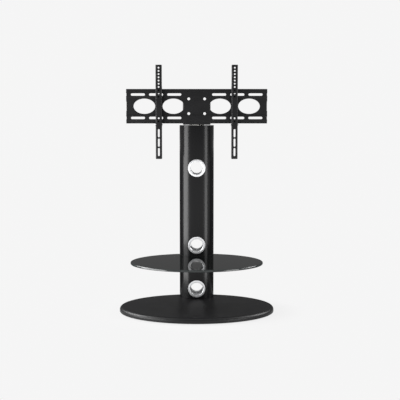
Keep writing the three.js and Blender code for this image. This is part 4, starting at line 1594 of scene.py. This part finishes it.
@dataclass
class GlassShelf:
    """The oval glass shelf, the rubber in its notch, and the bracket, screws and pads under it."""

    section: ColumnSection
    depth: float = 343.0
    edge: float = 4.0
    rim_share: float = 3 / 170
    rim_tilts: tuple[float, float] = (0.8, 0.97)
    edging: float = 1.6
    edging_edge: float = 0.3
    gap: float = 0.3
    edging_reach: float = 50.0
    pad_edge: float = 0.5
    bracket_thickness: float = 4.0
    bracket_window: float = 26.0
    bracket_front_half: float = 78.0
    bracket_corner: float = 14.0
    bracket_radius: float = 6.0
    bracket_edge: float = 0.5
    skirt_drop: float = 0.6
    bracket_screw: Screw = Screw(2.9, 5.5, 3.0, 12.0, 0.9)

    def build(self) -> None:
        """Builds the glass, its edging, the bracket, the screws and the pads."""
        self._glass()
        self._edging()
        self._bracket()
        self.bracket_screw.set_out("bracket_screws", numbered("shelf_bracket_screw", 2), Facing.FRONT)
        self._pads(numbered("shelf_pad", 4))

    def _glass(self) -> None:
        """Builds the oval of glass with its notch."""
        low, high = reach("glass_shelf")
        width, middle_y = high.x - low.x, low.y + self.depth / 2
        oval = slab([ellipse(width, self.depth, 0, middle_y, 480)], low.z, high.z, self.edge, steps=8)
        notch = self.section.open_back(self.edging + 2 * self.gap)
        glass = cut(oval, slab([notch], low.z - CLEAR, high.z + CLEAR, HAIR, steps=1))

        def on_rim(centre: Vector, normal: Vector) -> bool:
            """Tells whether a face is on the polished rim."""
            away = math.hypot(centre.x / width * 2, (centre.y - middle_y) / self.depth * 2)
            return abs(normal.z) < self.rim_tilts[int(away > 1 - self.rim_share)]

        # The rim's faces get the second finish, whose grey colour is a painted glow for light through the
        # glass.
        publish("oval_glass", glass, GLASS, Body.STAND, "glass_shelf", second=(GLASS_RIM_PAINTED_GLOW, on_rim))

    def _edging(self) -> None:
        """Builds the rubber strip between the glass and the column."""
        low, high = reach("shelf_edging")
        keep = self.section.front + self.edging_reach
        outer, inner = (
            [point for point in self.section.outline(grow) if point[1] < keep]
            for grow in (self.gap + self.edging, self.gap)
        )
        strip = slab([[*outer, *reversed(inner)]], low.z, high.z, self.edging_edge)
        publish("notch_edging", strip, RUBBER, Body.STAND, "shelf_edging")

    def _bracket(self) -> None:
        """Builds the notched plate with the skirt that is screwed to the column."""
        low, high = reach("shelf_bracket")
        section, corner, edge = self.section, self.bracket_corner, self.bracket_edge
        under = high.z - self.bracket_thickness
        right = [
            (self.bracket_front_half - corner, low.y),
            (self.bracket_front_half, low.y + corner),
            (high.x, section.front - corner),
            (high.x, high.y - corner),
            (high.x - corner, high.y),
        ]
        plate = slab([rounded(doubled(right), self.bracket_radius, 5)], under, high.z, edge)
        sleeve_outline = section.outline(self.gap + self.bracket_thickness)
        sleeve = slab([sleeve_outline], low.z, high.z - self.skirt_drop, edge)
        far = section.notch_run
        front_half = [(-far, -far), (far, -far), (far, high.y), (-far, high.y)]
        skirt = combined(sleeve, slab([front_half], low.z - CLEAR, high.z + CLEAR, HAIR), Join.KEEP)
        window = circle(self.bracket_window, 0, (low.y + section.front) / 2)
        screw_drill = drill(BRACKET_HOLE, section.front - self.bracket_thickness, section.front)
        bracket = cut(
            combined(plate, skirt, Join.ADD),
            section.block(self.gap, low.z, high.z),
            slab([window], under - CLEAR, high.z + CLEAR, HAIR),
            REPEATS.on_points(screw_drill, heights(numbered("shelf_bracket_screw", 2))),
        )
        publish("shelf_carrier", bracket, POWDER, Body.STAND, "shelf_bracket")

    def _pads(self, nodes: Sequence[str]) -> None:
        """Builds the pads that the glass lies on.

        Args:
            nodes: The nodes that they stand for.
        """
        low, high = reach(nodes[0])
        radius, height = (high.x - low.x) / 2, high.z - low.z
        profile = [(0, 0), (radius, 0), (radius, height), (0, height)]
        pad = turned(rounded(profile, self.pad_edge, 3, closed=False))
        copies = REPEATS.on_points(pad, spots(nodes, low.z), finish=RUBBER)
        publish("glass_pads", copies, RUBBER, Body.STAND, *nodes)


# Studio


def stood(name: str, corners: Sequence[Place], faces: Sequence[Sequence[int]], paint: Material) -> Object:
    """Puts a flat piece of the studio into the scene.

    Args:
        name: Its name.
        corners: Its corners, in metres.
        faces: Its faces, as numbers of corners.
        paint: Its material.

    Returns:
        The object.
    """
    mesh = bpy.data.meshes.new(name)
    mesh.from_pydata(corners, [], faces)
    mesh.materials.append(paint)
    thing = linked(name, mesh)
    return thing


@dataclass(frozen=True)
class Lamp:
    """A soft area lamp: its name, place and aim, its width and height in metres, and its power in watts."""

    name: str
    place: Place
    aim: Place
    width: float
    height: float
    power: float

    def build(self) -> None:
        """Hangs the lamp, out of the picture."""
        light = bpy.data.lights.new(self.name, "AREA")
        light.shape = "RECTANGLE"
        light.size, light.size_y, light.energy = self.width, self.height, self.power
        lamp = linked(self.name, light)
        lamp.location = self.place
        lamp.rotation_euler = (Vector(self.aim) - Vector(self.place)).to_track_quat("-Z", "Y").to_euler()
        lamp.visible_camera = False


@dataclass(frozen=True)
class Card:
    """A standing studio card that keeps a reflection dark, as black products are photographed.

    Attributes:
        name: Its name.
        foot: Points that its foot passes through, in metres.
        low: Height of its lower edge in metres.
        high: Height of its upper edge in metres.
        level: How bright it looks, where 1 is white.
    """

    name: str
    foot: tuple[Point, ...]
    low: float
    high: float
    level: float

    def build(self) -> None:
        """Stands the card up, out of the picture."""
        paint = bpy.data.materials.new(self.name)
        tree = emptied(paint)
        glow = add_node(tree, "ShaderNodeEmission", {"Color": WHITE, "Strength": self.level})
        add_node(tree, "ShaderNodeOutputMaterial", {"Surface": glow.outputs["Emission"]})
        corners = [(x, y, z) for x, y in self.foot for z in (self.low, self.high)]
        faces = [(step, step + 2, step + 3, step + 1) for step in range(0, len(corners) - 2, 2)]
        stood(self.name, corners, faces, paint).visible_camera = False


SURROUND = circle(3.6, steps=180)
BEHIND = len(SURROUND) // 4  # The point of the surround that stands behind, where its low part is open.


@dataclass
class Studio:
    """The plain pale studio: floor, backdrop, lamps, cards and camera.

    The floor ends where it has faded to the same white as the surroundings, so that the lamps can also stand
    in the low reflections of the column. The low surround is open behind, so that the rings mirror white.

    Attributes:
        white: How bright the surroundings look, where 1 is white.
        ambient: How much light they give, on the same scale.
        floor_albedo: Share of the light that the floor gives back.
        rim: Half the width and depth of the base, in metres.
        fade_from: Where the floor starts to fade, as a multiple of the rim.
        fade_to: Where it is plain white and ends, as a multiple of the rim.
        least_glow_share: Share of plain white in the floor's look, where it is least.
        camera_place: Place of the camera, in metres.
        camera_pitch: How far it looks down, in degrees.
        lens: Its focal length in millimetres.
        shift: How far the picture is moved, as a share of its width.
        lamps: The lamps.
        cards: The cards and the surround.
    """

    white: float = 0.915
    ambient: float = 0.6
    floor_albedo: float = 0.5
    rim: tuple[float, float] = (0.347, 0.2)
    fade_from: float = 1.0
    fade_to: float = 1.5
    least_glow_share: float = 0.86
    camera_place: Place = (0.0, -3.035, 0.9185)
    camera_pitch: float = 4.8
    lens: float = 61.61
    shift: tuple[float, float] = (0.0083, -0.0868)
    lamps: tuple[Lamp, ...] = (
        Lamp("left_softbox", (-2.13, -1.35, -0.2), (0, 0.14, -0.2), 2.0, 2.4, 140.0),
        Lamp("right_softbox", (1.67, -1.85, -0.2), (0, 0.14, -0.2), 0.82, 2.4, 37.0),
        Lamp("left_high_softbox", (-2.4, 0.0, 1.9), (0, 0, 0.1), 1.8, 1.6, 170.0),
        Lamp("right_high_softbox", (2.4, 0.0, 1.9), (0, 0, 0.1), 1.4, 1.4, 105.0),
    )
    cards: tuple[Card, ...] = (
        Card("grey_surround_high", (*SURROUND, SURROUND[0]), 1.05, 6.0, 0.2),
        Card("grey_surround_low", (*SURROUND[BEHIND + 1:], *SURROUND[:BEHIND]), 0.6, 1.05, 0.2),
        Card("black_card_left", ((-0.6, 2.3), (-1.5, 1.65), (-2.9, 0.2)), -1.3, 0.6, 0.05),
        Card("black_card_right", ((0.6, 2.3), (1.5, 1.65), (2.9, -0.6)), -1.3, 0.6, 0.09),
        Card("grey_card_behind", ((-0.6, 2.3), (0.0, 2.45), (0.6, 2.3)), -1.3, 0.6, 0.2),
        Card("black_card_over_camera", ((-2.2, -3.2), (2.2, -3.2)), 1.02, 4.0, 0.05),
    )

    def build(self) -> None:
        """Builds the whole studio."""
        bpy.context.scene.view_settings.view_transform = "Standard"
        self._camera()
        self._world()
        self._floor()
        for piece in (*self.lamps, *self.cards):
            piece.build()

    def _camera(self) -> None:
        """Sets the camera up as the photograph was framed."""
        data = bpy.data.cameras.new("camera")
        data.sensor_width = 36.0
        data.lens = self.lens
        data.shift_x, data.shift_y = self.shift
        camera = linked("camera", data)
        camera.location = self.camera_place
        camera.rotation_euler = (QUARTER - math.radians(self.camera_pitch), 0, 0)
        bpy.context.scene.camera = camera

    def _world(self) -> None:
        """Makes the even surroundings: full white where they are seen or mirrored, softer as light."""
        world = bpy.data.worlds.new("even_white")
        bpy.context.scene.world = world
        tree = emptied(world)
        levels = {"Value": seen_rays(tree), "To Min": self.ambient, "To Max": self.white}
        glow = add_node(tree, "ShaderNodeMapRange", levels).outputs["Result"]
        back = add_node(tree, "ShaderNodeBackground", {"Color": WHITE, "Strength": glow})
        add_node(tree, "ShaderNodeOutputWorld", {"Surface": back.outputs["Background"]})

    def _floor(self) -> None:
        """Lays the pale floor, which takes the stand's shadow and fades to plain white further out."""
        paint = bpy.data.materials.new("pale_floor")
        tree = emptied(paint)
        place = add_node(tree, "ShaderNodeTexCoord").outputs["Object"]
        scale = {0: place, 1: (1 / self.rim[0], 1 / self.rim[1], 1)}
        shares = add_node(tree, "ShaderNodeVectorMath", scale, operation="MULTIPLY").outputs["Vector"]
        away = add_node(tree, "ShaderNodeVectorMath", {0: shares}, operation="LENGTH").outputs["Value"]
        span = {
            "Value": away,
            "From Min": self.fade_from,
            "From Max": self.fade_to,
            "To Min": self.least_glow_share,
        }
        fade = add_node(tree, "ShaderNodeMapRange", span, interpolation_type="SMOOTHSTEP").outputs["Result"]
        grey = (self.floor_albedo,) * 3 + (1.0,)
        matt = add_node(tree, "ShaderNodeBsdfDiffuse", {"Color": grey}).outputs["BSDF"]
        glow = add_node(tree, "ShaderNodeEmission", {"Color": WHITE, "Strength": self.white})
        blend = add_node(tree, "ShaderNodeMixShader", {0: fade, 1: matt, 2: glow.outputs["Emission"]})
        either = {0: seen_rays(tree), 1: matt, 2: blend.outputs["Shader"]}
        shown = add_node(tree, "ShaderNodeMixShader", either)
        add_node(tree, "ShaderNodeOutputMaterial", {"Surface": shown.outputs["Shader"]})
        width, depth = (2 * size * self.fade_to for size in self.rim)
        corners = [(x, y, 0.0) for x, y in ellipse(width, depth, steps=128)]
        stood("floor", corners, [tuple(range(len(corners)))], paint)


def seen_rays(tree: NodeTree) -> NodeSocket:
    """Adds nodes that tell camera, glossy and transmission rays from the rest.

    Args:
        tree: The tree that they go into.

    Returns:
        A socket that is 1 for those rays and 0 for others.
    """
    path = add_node(tree, "ShaderNodeLightPath").outputs
    either = path["Is Camera Ray"]
    for kind in ("Is Glossy Ray", "Is Transmission Ray"):
        largest = add_node(tree, "ShaderNodeMath", {0: either, 1: path[kind]}, operation="MAXIMUM")
        either = largest.outputs["Value"]
    return either


def main() -> None:
    """Builds the studio and the stand, and reports each piece."""
    logging.basicConfig(level=logging.INFO, format="%(name)s: %(message)s")
    Studio().build()
    section = ColumnSection()
    for part in (
        OvalBase(),
        Column(section),
        Grommets(section),
        Swivel(),
        NeckBracket(section),
        MountingPlate(),
        HookArms(),
        GlassShelf(section),
    ):
        part.build()


if __name__ == "__main__":
    main()
